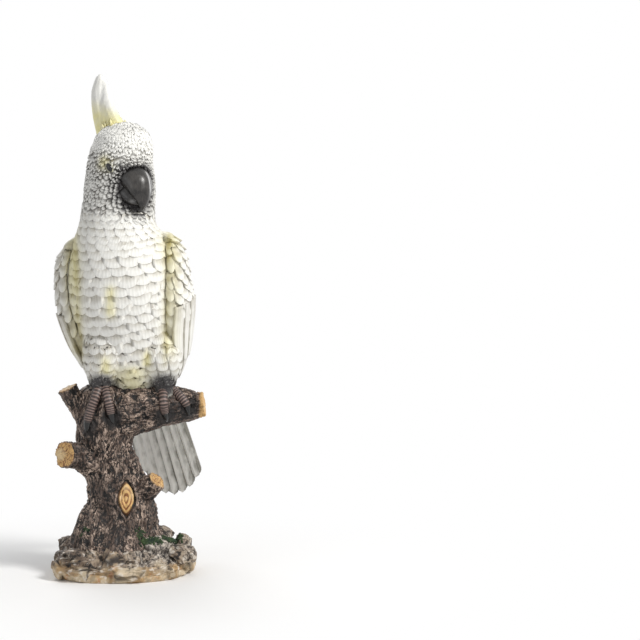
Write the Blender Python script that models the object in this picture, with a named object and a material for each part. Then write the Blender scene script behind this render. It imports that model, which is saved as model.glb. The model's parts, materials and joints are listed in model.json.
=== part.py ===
"""White cockatoo figurine perched on a tree stump with a rocky base, cast in one piece.

Units are metres and +Z is up. The figure is seen from -Y, with +X to the right. The origin is the
centre of the flat underside of the base.
"""

import math
from bisect import bisect_left

import bmesh
import bpy
from mathutils import Vector, noise
from mathutils.bvhtree import BVHTree

# Rocky base
BASE_WIDTH = 0.1150
BASE_DEPTH = 0.0980
BASE_RIM_HEIGHT = 0.0150
BASE_CROWN_HEIGHT = 0.0300
BASE_SQUARENESS = 2.5
BASE_ROUGHNESS = 0.0030

# Stump, its perch branch and its side branches
SEAT_HEIGHT = 0.1520
ROOT_WIDTH = 0.0760
WAIST_WIDTH = 0.0410
SHOULDER_WIDTH = 0.0450
TRUNK_DEPTH_SHARE = 0.92
PERCH_REACH = 0.0660
PERCH_ROOT_RADIUS = 0.0200
PERCH_END_RADIUS = 0.0092
TWIG_RADIUS = 0.0072
LEFT_STUB_RADIUS = 0.0104
RIGHT_STUB_RADIUS = 0.0082
BARK_RELIEF = 0.0030
SCAR_WIDTH = 0.0145
SCAR_HEIGHT = 0.0260
SCAR_ASIDE = 0.0030
SCAR_LEVEL = 0.0645
SCAR_LIP_SHARE = 0.24
SCAR_LIP_DEPTH = 0.0017
SCAR_WOOD_DEPTH = 0.0028

# Bird
CROWN_HEIGHT = 0.2055
HEAD_WIDTH = 0.0510
HEAD_DEPTH = 0.0535
NECK_WIDTH = 0.0570
BREAST_WIDTH = 0.0870
BREAST_DEPTH = 0.0810
RUMP_WIDTH = 0.0430
HEAD_TURN = 35.0
BREAST_TURN = -15.5
FEATHER_ROWS = 16
FEATHERS_AROUND = 12
FEATHER_PITCH = 0.0098
FEATHER_RELIEF = 0.0016
FEATHER_SCALLOP = 0.0036
WING_LIFT = 0.0100
CREST_HEIGHT = 0.0385
BEAK_LENGTH = 0.0370
BEAK_WIDTH = 0.0290
EYE_RADIUS = 0.0037
TAIL_LENGTH = 0.0930
TAIL_FEATHERS = 9
TAIL_ROOT_SPREAD = 0.0215
TAIL_FAN = 3.0
LEG_SPACING = 0.0490
TOE_RADIUS = 0.0040


# How the surfaces are divided
STEP_DOWN = 0.0005
POINTS_PER_FEATHER = 4
FRONT_CROWDING = 0.42
SHARP_ANGLE = 30.0


def smoothstep(low, high, value):
    share = min(1.0, max(0.0, (value - low) / (high - low)))
    return share * share * (3 - 2 * share)


def along(rows, position):
    """The row between those of a table at a fractional index, by a Catmull-Rom spline."""
    last = len(rows) - 1
    position = min(max(position, 0.0), float(last))
    index = min(int(position), last - 1)
    t = position - index
    before, start = rows[max(index - 1, 0)], rows[index]
    end, after = rows[index + 1], rows[min(index + 2, last)]
    return [
        b + 0.5 * t * (c - a + t * (2 * a - 5 * b + 4 * c - d + t * (3 * (b - c) + d - a)))
        for a, b, c, d in zip(before, start, end, after)
    ]


def resampled(rows, count):
    """A table read at this many even steps of its index."""
    return [along(rows, (len(rows) - 1) * i / (count - 1)) for i in range(count)]


# Collections: the finished figure, and the forms that are joined into it
def new_collection(name):
    collection = bpy.data.collections.new(name)
    bpy.context.scene.collection.children.link(collection)
    return collection


for leftover in list(bpy.data.objects):
    bpy.data.objects.remove(leftover)
FIGURE = new_collection("Cockatoo figurine")
FORMS = new_collection("Forms to join")


def mesh_object(name, mesh, collection):
    mesh.shade_smooth()
    mesh.set_sharp_from_angle(angle=math.radians(SHARP_ANGLE))
    form = bpy.data.objects.new(name, mesh)
    collection.objects.link(form)
    return form


def add_form(name, mesh):
    """An object that is only there to be joined into the figure."""
    form = mesh_object(name, mesh, FORMS)
    form.hide_render = True
    form.display_type = "WIRE"
    return form


def shaped(name, place):
    """The primitive just added, as a form whose vertices are each moved by place."""
    primitive = bpy.context.object
    mesh = primitive.data
    bpy.data.objects.remove(primitive)
    for vertex in mesh.vertices:
        vertex.co = place(vertex.co)
    return add_form(name, mesh)


def loft(name, rings, start=None, end=None):
    """A closed skin over rings of equal count. start and end are poles; without one, the end is flat."""
    bm = bmesh.new()
    loops = [[bm.verts.new(point) for point in ring] for ring in rings]
    count = len(loops[0])
    for upper, lower in zip(loops, loops[1:]):
        for i in range(count):
            j = (i + 1) % count
            bm.faces.new((upper[i], upper[j], lower[j], lower[i]))
    for loop, pole in ((loops[0], start), (loops[-1], end)):
        if pole is None:
            bm.faces.new(loop)
            continue
        tip = bm.verts.new(pole)
        for i in range(count):
            bm.faces.new((loop[i], loop[(i + 1) % count], tip))
    bmesh.ops.recalc_face_normals(bm, faces=bm.faces)
    if bm.calc_volume(signed=True) < 0:
        bmesh.ops.reverse_faces(bm, faces=bm.faces)
    bmesh.ops.triangulate(bm, faces=bm.faces)
    mesh = bpy.data.meshes.new(name)
    bm.to_mesh(mesh)
    bm.free()
    return add_form(name, mesh)


def oval(centre, across, up, half_across, half_up, count, lump=None):
    """A ring of points on an ellipse. lump gives a share of the radius for each angle."""
    points = []
    for i in range(count):
        angle = 2 * math.pi * i / count
        swell = 1.0 if lump is None else lump(angle)
        x = half_across * math.cos(angle) * swell
        y = half_up * math.sin(angle) * swell
        points.append(centre + across * x + up * y)
    return points


# Rocky base: a low mound with a rounded rim on a flat underside
BASE_PROFILE = [
    # height, share of the half width that is left
    (0.0, 0.880),
    (0.22 * BASE_RIM_HEIGHT, 0.965),
    (0.65 * BASE_RIM_HEIGHT, 1.0),
    (BASE_RIM_HEIGHT, 0.965),
    (0.62 * BASE_CROWN_HEIGHT, 0.87),
    (0.78 * BASE_CROWN_HEIGHT, 0.74),
    (0.90 * BASE_CROWN_HEIGHT, 0.58),
    (BASE_CROWN_HEIGHT, 0.40),
]
BASE_SIDES = 36


def make_base():
    rings = []
    for height, share in BASE_PROFILE:
        ring = []
        for i in range(BASE_SIDES):
            angle = 2 * math.pi * i / BASE_SIDES
            c, s = math.cos(angle), math.sin(angle)
            power = 2 / BASE_SQUARENESS
            x = math.copysign(abs(c) ** power, c) * BASE_WIDTH / 2 * share
            y = math.copysign(abs(s) ** power, s) * BASE_DEPTH / 2 * share
            point = Vector((x, y, height))
            if height > 0:
                rough = noise.noise(Vector((x, y, height)) * 95) * BASE_ROUGHNESS
                point += Vector((x, y, 0)).normalized() * rough
                point.z += abs(rough) * smoothstep(0, BASE_RIM_HEIGHT, height)
            ring.append(point)
        rings.append(ring)
    return loft("base", rings, end=Vector((0, 0, BASE_CROWN_HEIGHT * 1.05)))


ROCKS = [
    # place as shares of the base's half width and half depth, height, radii, seed
    (0.80, -0.46, 0.0175, 0.0125, 0.0100, 0.0085, 1.0),
    (0.84, -0.02, 0.0240, 0.0075, 0.0080, 0.0080, 2.0),
    (0.54, 0.54, 0.0225, 0.0130, 0.0105, 0.0080, 3.0),
    (-0.66, 0.46, 0.0205, 0.0145, 0.0120, 0.0085, 4.0),
    (0.16, -0.66, 0.0165, 0.0190, 0.0090, 0.0060, 6.0),
]
ROCK_ROUGHNESS = 0.22
ROCK_GRAIN = 1.9


def make_rock(share_x, share_y, height, wide, deep, tall, seed):
    centre = Vector((share_x * BASE_WIDTH / 2, share_y * BASE_DEPTH / 2, height))

    def place(point):
        x, y, z = point.normalized()
        rough = noise.noise(Vector((x, y, z)) * ROCK_GRAIN + Vector((seed, seed, 0)))
        return centre + Vector((x * wide, y * deep, z * tall)) * (1 + ROCK_ROUGHNESS * rough)

    bpy.ops.mesh.primitive_ico_sphere_add(subdivisions=2, radius=1)
    return shaped(f"rock_{int(seed)}", place)


# Stump: an upright trunk that leans into its perch branch
TRUNK = [
    # x, y, height, half width
    (-0.0035, 0.0010, 0.40 * BASE_CROWN_HEIGHT, 0.50 * ROOT_WIDTH),
    (-0.0035, 0.0010, 0.85 * BASE_CROWN_HEIGHT, 0.47 * ROOT_WIDTH),
    (-0.0025, 0.0008, 0.260 * SEAT_HEIGHT, 0.395 * ROOT_WIDTH),
    (-0.0005, 0.0005, 0.375 * SEAT_HEIGHT, 0.345 * ROOT_WIDTH),
    (-0.0055, 0.0000, 0.493 * SEAT_HEIGHT, 0.54 * WAIST_WIDTH),
    (-0.0105, 0.0000, 0.625 * SEAT_HEIGHT, 0.49 * WAIST_WIDTH),
    (-0.0118, -0.0010, 0.737 * SEAT_HEIGHT, 0.49 * SHOULDER_WIDTH),
    (-0.0115, -0.0020, 0.855 * SEAT_HEIGHT, 0.53 * SHOULDER_WIDTH),
    (-0.0085, -0.0025, 0.945 * SEAT_HEIGHT, 0.46 * SHOULDER_WIDTH),
    (-0.0070, -0.0025, 0.995 * SEAT_HEIGHT, 0.28 * SHOULDER_WIDTH),
]
PERCH_LEVEL = SEAT_HEIGHT - 0.0185
PERCH = [
    # x, y, height, radius
    (-0.0180, -0.0020, PERCH_LEVEL - 0.0060, 0.90 * PERCH_ROOT_RADIUS),
    (0.0000, -0.0025, PERCH_LEVEL - 0.0030, 1.08 * PERCH_ROOT_RADIUS),
    (0.33 * PERCH_REACH, -0.0030, PERCH_LEVEL, 0.93 * PERCH_ROOT_RADIUS),
    (0.65 * PERCH_REACH, -0.0040, PERCH_LEVEL + 0.0005, 0.70 * PERCH_ROOT_RADIUS),
    (0.88 * PERCH_REACH, -0.0050, PERCH_LEVEL + 0.0010, 1.09 * PERCH_END_RADIUS),
    (PERCH_REACH, -0.0060, PERCH_LEVEL + 0.0020, PERCH_END_RADIUS),
]
TWIG = [
    (-0.0180, -0.0020, 0.740 * SEAT_HEIGHT, 1.6 * TWIG_RADIUS),
    (-0.0290, -0.0030, 0.835 * SEAT_HEIGHT, 1.15 * TWIG_RADIUS),
    (-0.0370, -0.0045, 0.920 * SEAT_HEIGHT, TWIG_RADIUS),
    (-0.0418, -0.0055, 0.982 * SEAT_HEIGHT, 1.02 * TWIG_RADIUS),
]
LEFT_STUB = [
    (-0.0180, -0.0020, 0.575 * SEAT_HEIGHT, 1.35 * LEFT_STUB_RADIUS),
    (-0.0300, -0.0090, 0.622 * SEAT_HEIGHT, 1.06 * LEFT_STUB_RADIUS),
    (-0.0390, -0.0160, 0.640 * SEAT_HEIGHT, LEFT_STUB_RADIUS),
    (-0.0440, -0.0210, 0.648 * SEAT_HEIGHT, 0.97 * LEFT_STUB_RADIUS),
]
RIGHT_STUB = [
    (0.0060, -0.0060, 0.395 * SEAT_HEIGHT, 1.5 * RIGHT_STUB_RADIUS),
    (0.0160, -0.0110, 0.435 * SEAT_HEIGHT, 1.12 * RIGHT_STUB_RADIUS),
    (0.0240, -0.0145, 0.478 * SEAT_HEIGHT, RIGHT_STUB_RADIUS),
    (0.0280, -0.0165, 0.505 * SEAT_HEIGHT, 0.96 * RIGHT_STUB_RADIUS),
]


def bark(ridges, seed, spread=1.0):
    """Lumps round a branch: sharp-crested ridges that wander along it."""

    def swell(angle, distance, radius):
        wander = noise.noise(Vector((seed, distance * 30, math.cos(angle) * 1.5)))
        wave = math.sin(ridges * angle + 2.5 * wander + seed)
        knot = noise.noise(Vector((math.cos(angle), math.sin(angle), distance * 45 + seed)))
        return 1 + (0.75 * (abs(wave) - 0.5) + 0.9 * knot) * spread * BARK_RELIEF / radius

    return swell


def wood(name, sections, count, sides, swell, roots=0.0, top=None):
    """A branch or trunk: ovals square to the line through its sections."""
    rows = resampled(sections, count)
    rings = []
    travelled = 0.0
    for i, row in enumerate(rows):
        centre = Vector(row[:3])
        ahead = Vector(rows[min(i + 1, count - 1)][:3]) - Vector(rows[max(i - 1, 0)][:3])
        ahead.normalize()
        back = Vector((0, 1, 0))
        back = (back - ahead * back.dot(ahead)).normalized()
        across = back.cross(ahead)
        radius = row[3]
        depth = radius * (TRUNK_DEPTH_SHARE if roots else 1.0)
        flare = roots * (1 - smoothstep(0, 0.45 * SEAT_HEIGHT, centre.z))
        distance = travelled

        def lump(angle, distance=distance, radius=radius, flare=flare):
            toes = flare * (0.5 + 0.5 * math.cos(5 * angle + 0.6))
            return swell(angle, distance, radius) + toes

        rings.append(oval(centre, across, back, radius, depth, sides, lump))
        if i + 1 < count:
            travelled += (Vector(rows[i + 1][:3]) - centre).length
    return loft(name, rings, end=top)


def make_stump():
    trunk_top = Vector((TRUNK[-1][0], TRUNK[-1][1], SEAT_HEIGHT + 0.0008))
    return [
        wood("trunk", TRUNK, 16, 44, bark(5, 1.3), roots=0.16, top=trunk_top),
        wood("perch", PERCH, 10, 24, bark(3, 4.1)),
        wood("twig", TWIG, 5, 12, bark(2, 7.7, 0.6)),
        wood("left_stub", LEFT_STUB, 4, 14, bark(2, 9.2, 0.6)),
        wood("right_stub", RIGHT_STUB, 4, 12, bark(2, 11.9, 0.6)),
    ]


# Body: ovals along a spine from the crown of the head to the root of the tail
BODY = [
    # height above the seat, x, y, half width, half depth, turn in degrees
    (CROWN_HEIGHT, 0.0018, -0.0050, 0.0, 0.0, HEAD_TURN),
    (0.993 * CROWN_HEIGHT, 0.0018, -0.0050, 0.172 * HEAD_WIDTH, 0.178 * HEAD_DEPTH, HEAD_TURN),
    (0.972 * CROWN_HEIGHT, 0.0018, -0.0050, 0.312 * HEAD_WIDTH, 0.325 * HEAD_DEPTH, HEAD_TURN),
    (0.939 * CROWN_HEIGHT, 0.0016, -0.0054, 0.408 * HEAD_WIDTH, 0.422 * HEAD_DEPTH, HEAD_TURN),
    (0.895 * CROWN_HEIGHT, 0.0008, -0.0058, 0.440 * HEAD_WIDTH, 0.462 * HEAD_DEPTH, HEAD_TURN),
    (0.842 * CROWN_HEIGHT, -0.0006, -0.0054, 0.478 * HEAD_WIDTH, 0.490 * HEAD_DEPTH, HEAD_TURN),
    (0.760 * CROWN_HEIGHT, 0.0002, -0.0040, 0.484 * NECK_WIDTH, 0.444 * NECK_WIDTH, 0.9 * HEAD_TURN),
    (0.682 * CROWN_HEIGHT, -0.0002, -0.0036, 0.486 * NECK_WIDTH, 0.444 * NECK_WIDTH, 0.6 * HEAD_TURN),
    (0.613 * CROWN_HEIGHT, -0.0012, -0.0040, 0.512 * NECK_WIDTH, 0.500 * NECK_WIDTH, 0.2 * HEAD_TURN),
    (0.545 * CROWN_HEIGHT, -0.0005, -0.0025, 0.410 * BREAST_WIDTH, 0.400 * BREAST_DEPTH, 0.4 * BREAST_TURN),
    (0.467 * CROWN_HEIGHT, 0.0014, -0.0008, 0.470 * BREAST_WIDTH, 0.460 * BREAST_DEPTH, 0.85 * BREAST_TURN),
    (0.355 * CROWN_HEIGHT, 0.0033, 0.0025, 0.500 * BREAST_WIDTH, 0.500 * BREAST_DEPTH, BREAST_TURN),
    (0.243 * CROWN_HEIGHT, 0.0068, 0.0070, 0.470 * BREAST_WIDTH, 0.495 * BREAST_DEPTH, BREAST_TURN),
    (0.146 * CROWN_HEIGHT, 0.0106, 0.0105, 0.407 * BREAST_WIDTH, 0.478 * BREAST_DEPTH, BREAST_TURN),
    (0.058 * CROWN_HEIGHT, 0.0136, 0.0168, 0.340 * BREAST_WIDTH, 0.415 * BREAST_DEPTH, BREAST_TURN),
    (-0.010 * CROWN_HEIGHT, 0.0162, 0.0268, 0.500 * RUMP_WIDTH, 0.490 * RUMP_WIDTH, 1.2 * BREAST_TURN),
    (-0.068 * CROWN_HEIGHT, 0.0195, 0.0340, 0.350 * RUMP_WIDTH, 0.250 * RUMP_WIDTH, 1.4 * BREAST_TURN),
    (-0.117 * CROWN_HEIGHT, 0.0225, 0.0390, 0.240 * RUMP_WIDTH, 0.140 * RUMP_WIDTH, 1.6 * BREAST_TURN),
]
BODY_STEPS = 340
SMALLEST_RING = 0.0001


def body_section(u):
    """Centre, forward, sideways and downward directions and half sizes of the body at a table index."""
    height, x, y, half_width, half_depth, turn = along(BODY, u)
    centre = Vector((x, y, SEAT_HEIGHT + height))
    above, below = along(BODY, u - 0.3), along(BODY, u + 0.3)
    down = Vector((below[1] - above[1], below[2] - above[2], below[0] - above[0])).normalized()
    facing = math.radians(turn)
    forward = Vector((math.sin(facing), -math.cos(facing), 0))
    forward = (forward - down * forward.dot(down)).normalized()
    sideways = forward.cross(down)
    return centre, forward, sideways, down, half_width, half_depth


def skin(u, angle):
    centre, forward, sideways, _, half_width, half_depth = body_section(u)
    return centre + sideways * half_width * math.sin(angle) + forward * half_depth * math.cos(angle)


def measured_front():
    """Distance down the middle of the front from the crown, for even steps of the table index."""
    indexes = [(len(BODY) - 1) * i / BODY_STEPS for i in range(BODY_STEPS + 1)]
    points = [skin(u, 0.0) for u in indexes]
    distances = [0.0]
    for a, b in zip(points, points[1:]):
        distances.append(distances[-1] + (b - a).length)
    return indexes, distances


FRONT_INDEXES, FRONT_DISTANCES = measured_front()
BODY_LENGTH = FRONT_DISTANCES[-1]


def index_at(distance):
    """Table index at a distance down the front."""
    distance = min(max(distance, 0.0), BODY_LENGTH)
    after = min(max(bisect_left(FRONT_DISTANCES, distance), 1), BODY_STEPS)
    low, high = FRONT_DISTANCES[after - 1], FRONT_DISTANCES[after]
    share = (distance - low) / max(high - low, 1e-9)
    return FRONT_INDEXES[after - 1] + share * (FRONT_INDEXES[after] - FRONT_INDEXES[after - 1])


def distance_at_height(height):
    """Distance down the front of the section whose centre is this high above the seat."""
    for u, distance in zip(FRONT_INDEXES, FRONT_DISTANCES):
        if along(BODY, u)[0] <= height:
            return distance
    return BODY_LENGTH


def on_body(distance, angle, lift=0.0):
    """(point, outward normal) of the bird's surface, raised by lift. Angle 0 is the front."""
    u = index_at(distance)
    _, forward, sideways, down, half_width, half_depth = body_section(u)
    point = skin(u, angle)
    lengthways = skin(u + 0.05, angle) - skin(u - 0.05, angle)
    around = (
        sideways * max(half_width, SMALLEST_RING) * math.cos(angle)
        - forward * max(half_depth, SMALLEST_RING) * math.sin(angle)
    )
    normal = around.cross(lengthways).normalized()
    outward = sideways * math.sin(angle) + forward * math.cos(angle) - down * 0.05
    if normal.dot(outward) < 0:
        normal.negate()
    return point + normal * lift, normal


# Outline of a folded wing on the bird's side, whose skin stays plain beneath it
WING_TOP = 0.580 * CROWN_HEIGHT
WING_TIP = 0.026 * CROWN_HEIGHT
WING = [
    # share of the length, leading angle, trailing angle, lift share
    (0.00, 88.0, 112.0, 0.05),
    (0.07, 77.0, 128.0, 0.80),
    (0.18, 68.0, 146.0, 1.00),
    (0.40, 61.0, 160.0, 1.00),
    (0.60, 59.0, 163.0, 0.94),
    (0.78, 63.0, 160.0, 0.86),
    (0.90, 72.0, 150.0, 0.66),
    (1.00, 84.0, 138.0, 0.45),
]
WING_MARGIN = 9.0


def wing_row(share):
    """Leading angle, trailing angle and lift of a wing at a share of its length."""
    share = min(max(share, 0.0), 1.0)
    for upper, lower in zip(WING, WING[1:]):
        if share <= lower[0]:
            t = smoothstep(upper[0], lower[0], share)
            return [a + (b - a) * t for a, b in zip(upper[1:], lower[1:])]
    return list(WING[-1][1:])


def clear_of_wings(distance, angle):
    """0 on the skin under a wing and along its edges, rising to 1 a little way outside it."""
    top, tip = distance_at_height(WING_TOP), distance_at_height(WING_TIP)
    share = (distance - top) / (tip - top)
    if not -0.08 < share < 1.25:
        return 1.0
    lead, trail, _ = wing_row(share)
    turned = abs((math.degrees(angle) + 180) % 360 - 180)
    return smoothstep(2.0, WING_MARGIN, max(lead - turned, turned - trail))


def feather_angle(share):
    """Angle round the body of a share of the full turn; feathers are narrower in front."""
    turn = 2 * math.pi * share
    return turn - FRONT_CROWDING * math.sin(turn)


def scallop(feather):
    """Height of a round feather tip, from 0 between two feathers to 1 at the middle of one."""
    middle = abs(2 * (feather % 1.0) - 1)
    return 1 - middle**2.2


HEAD_RINGS = [0.0035, 0.0090, 0.0145, 0.0200, 0.0260, 0.0330, 0.0410, 0.0495, 0.0580]
FIRST_ROW = 0.0640


def feather_row(row, columns):
    """Two rings: the skin rises to the tip of each feather of a row, then steps down to the next row."""
    lip, under = [], []
    for column in range(columns):
        share = column / columns
        angle = feather_angle(share)
        tip = scallop(FEATHERS_AROUND * share + 0.5 * (row % 2))
        distance = FIRST_ROW + FEATHER_PITCH * row + FEATHER_SCALLOP * tip
        rise = FEATHER_RELIEF * (0.35 + 0.65 * tip) * clear_of_wings(distance, angle)
        lip.append(on_body(distance, angle, rise)[0])
        under.append(on_body(distance + STEP_DOWN, angle)[0])
    return [lip, under]


def make_body():
    columns = FEATHERS_AROUND * POINTS_PER_FEATHER
    rings = [
        [on_body(distance, feather_angle(i / columns))[0] for i in range(columns)]
        for distance in HEAD_RINGS
    ]
    for row in range(FEATHER_ROWS):
        rings += feather_row(row, columns)
    crown = skin(0.0, 0.0)
    end_centre = body_section(len(BODY) - 1)[0]
    rest = FIRST_ROW + FEATHER_PITCH * FEATHER_ROWS
    for share in (0.35, 0.7, 1.0):
        distance = rest + (BODY_LENGTH - rest) * share
        rings.append([on_body(distance, feather_angle(i / columns))[0] for i in range(columns)])
    return loft("body", rings, start=crown, end=end_centre)


# Wings: thick folded shields on the sides, with scalloped coverts above long flight feathers
WING_FEATHERS = 4
WING_COLUMNS = 3 * WING_FEATHERS + 1
COVERT_ROWS = 6
COVERT_END = 0.55
SECONDARY_END = 0.80
PRIMARY_END = 0.97
TIP_SLANT = 0.13
FLIGHT_RELIEF = 0.0036


def wing_place(side, share, q, rise=0.0):
    """Point and normal on a wing's outer face: share runs down it and q from its leading edge back."""
    top, tip = distance_at_height(WING_TOP), distance_at_height(WING_TIP)
    lead, trail, lift = wing_row(share)
    angle = math.radians(lead + (trail - lead) * q)
    rounding = math.sqrt(max(0.0, 1 - (1 - min(1.0, q / 0.14)) ** 2))
    thickness = lift * WING_LIFT * (0.55 + 0.45 * rounding) * (1 - 0.62 * smoothstep(0.35, 1.0, q))
    return on_body(top + (tip - top) * share, side * angle, thickness + rise)


def wing_loop(side, shares, rises):
    """A closed section through a wing: its outer face, then back inside the body."""
    last = WING_COLUMNS - 1
    loop = [wing_place(side, shares[i], i / last, rises[i])[0] for i in range(WING_COLUMNS)]
    for i in (last, last // 2, 0):
        point, normal = wing_place(side, shares[i], i / last)
        loop.append(point - normal * (wing_row(shares[i])[2] * WING_LIFT + 0.004))
    return loop


def make_wing(side, name):
    """Scalloped coverts over a tier of long secondaries, over a lower tier of slanting primaries."""
    columns = range(WING_COLUMNS)
    flat = [0.0] * WING_COLUMNS
    wing_length = distance_at_height(WING_TIP) - distance_at_height(WING_TOP)
    step = STEP_DOWN / wing_length
    tip_share = 1.2 * FEATHER_SCALLOP / wing_length
    loops = [wing_loop(side, [share] * WING_COLUMNS, flat) for share in (0.0, 0.05)]
    for row in range(COVERT_ROWS):
        start = 0.09 + (COVERT_END - 0.09) * row / (COVERT_ROWS - 1)
        tips = [scallop(i / 3 + 0.5 * (row % 2)) for i in columns]
        lip = [start + tip_share * tip for tip in tips]
        loops.append(wing_loop(side, lip, [FEATHER_RELIEF * (0.35 + 0.65 * tip) for tip in tips]))
        loops.append(wing_loop(side, [share + step for share in lip], flat))
    overlap = [FLIGHT_RELIEF * (1 - i % 3 / 3) for i in columns]
    tips = [scallop(i / 3 + 0.17) for i in columns]
    for start, end, slant in (
        (COVERT_END + 0.07, SECONDARY_END, 0.5 * TIP_SLANT),
        (SECONDARY_END + 0.10, PRIMARY_END, TIP_SLANT),
    ):
        slants = [slant * i / (WING_COLUMNS - 1) for i in columns]
        loops.append(wing_loop(side, [start + slope for slope in slants], overlap))
        lip = [end + slope + 1.5 * tip_share * tip for slope, tip in zip(slants, tips)]
        raised = [rise + FLIGHT_RELIEF * 0.5 for rise in overlap]
        loops.append(wing_loop(side, lip, raised))
        if end == SECONDARY_END:
            loops.append(wing_loop(side, [share + step for share in lip], flat))
    top = sum(loops[0], Vector()) / len(loops[0])
    tip = sum(loops[-1], Vector()) / len(loops[-1])
    return loft(name, loops, start=top, end=tip)


# Tail: a fan of overlapping feathers that hangs behind the stump
TAIL_ROOT_SHARE = 0.955
TAIL_LEAN = Vector((0.270, 0.360, -0.900)).normalized()
TAIL_SHIFT = Vector((0.0013, 0.0, 0.0))
TAIL_ACROSS = Vector((0.930, -0.360, 0.0))
TAIL_CAMBER = 0.0030
TAIL_THICKNESS = 0.0042
TAIL_RELIEF = 0.0014


def make_tail():
    """Sections of a thin corrugated sheet: a ridge down the middle of each feather, and round tips."""
    root = body_section(TAIL_ROOT_SHARE * (len(BODY) - 1))[0] + TAIL_SHIFT
    across = (TAIL_ACROSS - TAIL_LEAN * TAIL_ACROSS.dot(TAIL_LEAN)).normalized()
    face = across.cross(TAIL_LEAN)
    if face.y > 0:
        face.negate()
    columns = 2 * TAIL_FEATHERS + 1
    rings = []
    for share, tip_depth in ((0.0, 0.0), (0.35, 0.0), (0.70, 0.0), (0.93, 0.0), (0.965, 0.035)):
        front, behind = [], []
        for i in range(columns):
            offset = 2 * i / (columns - 1) - 1
            middle = i % 2
            turn = math.radians(TAIL_FAN / 2 * offset)
            direction = TAIL_LEAN * math.cos(turn) + across * math.sin(turn)
            reach = TAIL_LENGTH * (share + tip_depth * middle) * (1 - 0.20 * offset * offset)
            point = root + across * offset * TAIL_ROOT_SPREAD * (1 + 0.06 * share) + direction * reach
            point -= face * TAIL_CAMBER * offset * offset
            front.append(point + face * (TAIL_THICKNESS / 2 + TAIL_RELIEF * middle))
            behind.append(point - face * (TAIL_THICKNESS / 2 + TAIL_RELIEF * middle))
        rings.append(front + behind[::-1])
    return loft("tail", rings)


# Head details, placed in the vertical plane that the head faces along
HEAD_CENTRE_SHARE = 0.842


def head_frame():
    facing = math.radians(HEAD_TURN)
    forward = Vector((math.sin(facing), -math.cos(facing), 0))
    beside = Vector((math.cos(facing), math.sin(facing), 0))
    row = min(BODY, key=lambda section: abs(section[0] - HEAD_CENTRE_SHARE * CROWN_HEIGHT))
    centre = Vector((row[1], row[2], SEAT_HEIGHT + HEAD_CENTRE_SHARE * CROWN_HEIGHT))
    return centre, forward, beside


def in_head(ahead, aside, above):
    """A point measured from the middle of the head."""
    centre, forward, beside = head_frame()
    return centre + forward * ahead + beside * aside + Vector((0, 0, above))


UPPER_BEAK = [
    # forward, up from the middle of the head, half height, half width, as shares of the beak's length
    (0.26, -0.31, 0.300, 0.235),
    (0.52, -0.29, 0.310, 0.250),
    (0.71, -0.39, 0.265, 0.225),
    (0.81, -0.55, 0.205, 0.195),
    (0.835, -0.73, 0.140, 0.135),
    (0.83, -0.88, 0.070, 0.062),
]
UPPER_BEAK_TIP = (0.80, -0.975)
LOWER_BEAK = [
    (0.30, -0.62, 0.200, 0.225),
    (0.52, -0.68, 0.195, 0.240),
    (0.66, -0.74, 0.165, 0.215),
    (0.75, -0.77, 0.110, 0.160),
]
LOWER_BEAK_TIP = (0.80, -0.75)


def make_mandible(name, sections, tip, sides):
    _, forward, beside = head_frame()
    width = BEAK_WIDTH / (2 * 0.270 * BEAK_LENGTH)
    rings = []
    for i, (ahead, above, half_height, half_width) in enumerate(sections):
        last, following = sections[max(i - 1, 0)], (sections + [tip])[i + 1]
        run = forward * (following[0] - last[0]) + Vector((0, 0, following[1] - last[1]))
        upwards = beside.cross(run.normalized())
        centre = in_head(BEAK_LENGTH * ahead, 0.0, BEAK_LENGTH * above)
        half_across = BEAK_LENGTH * half_width * width
        rings.append(
            oval(centre, beside, upwards, half_across, BEAK_LENGTH * half_height, sides)
        )
    return loft(name, rings, end=in_head(BEAK_LENGTH * tip[0], 0.0, BEAK_LENGTH * tip[1]))


EYE_AHEAD = 0.0165
EYE_ABOVE = -0.0010
EYE_SUNK_SHARE = 0.32


def make_eye(side, name):
    """A round bead, seated in the side of the head."""
    distance = distance_at_height(HEAD_CENTRE_SHARE * CROWN_HEIGHT + EYE_ABOVE)
    angle = math.acos(EYE_AHEAD / (HEAD_DEPTH / 2))
    point, normal = on_body(distance, side * angle, -EYE_SUNK_SHARE * EYE_RADIUS)
    turn = normal.to_track_quat("Z", "Y")
    bpy.ops.mesh.primitive_uv_sphere_add(segments=8, ring_count=5, radius=EYE_RADIUS)
    return shaped(name, lambda vertex: point + turn @ vertex)


PLUMES = [
    # base ahead, aside; middle ahead, rise; tip ahead, rise as a share of the crest height; radius
    (-0.0185, 0.0012, -0.0272, 0.45, -0.0272, 0.90, 0.0074),
    (-0.0145, -0.0016, -0.0232, 0.52, -0.0258, 1.00, 0.0084),
    (-0.0095, 0.0016, -0.0178, 0.40, -0.0222, 0.80, 0.0080),
    (-0.0040, -0.0012, -0.0122, 0.24, -0.0178, 0.56, 0.0074),
]
CROWN_ABOVE_EYES = (1 - HEAD_CENTRE_SHARE) * CROWN_HEIGHT


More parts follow.
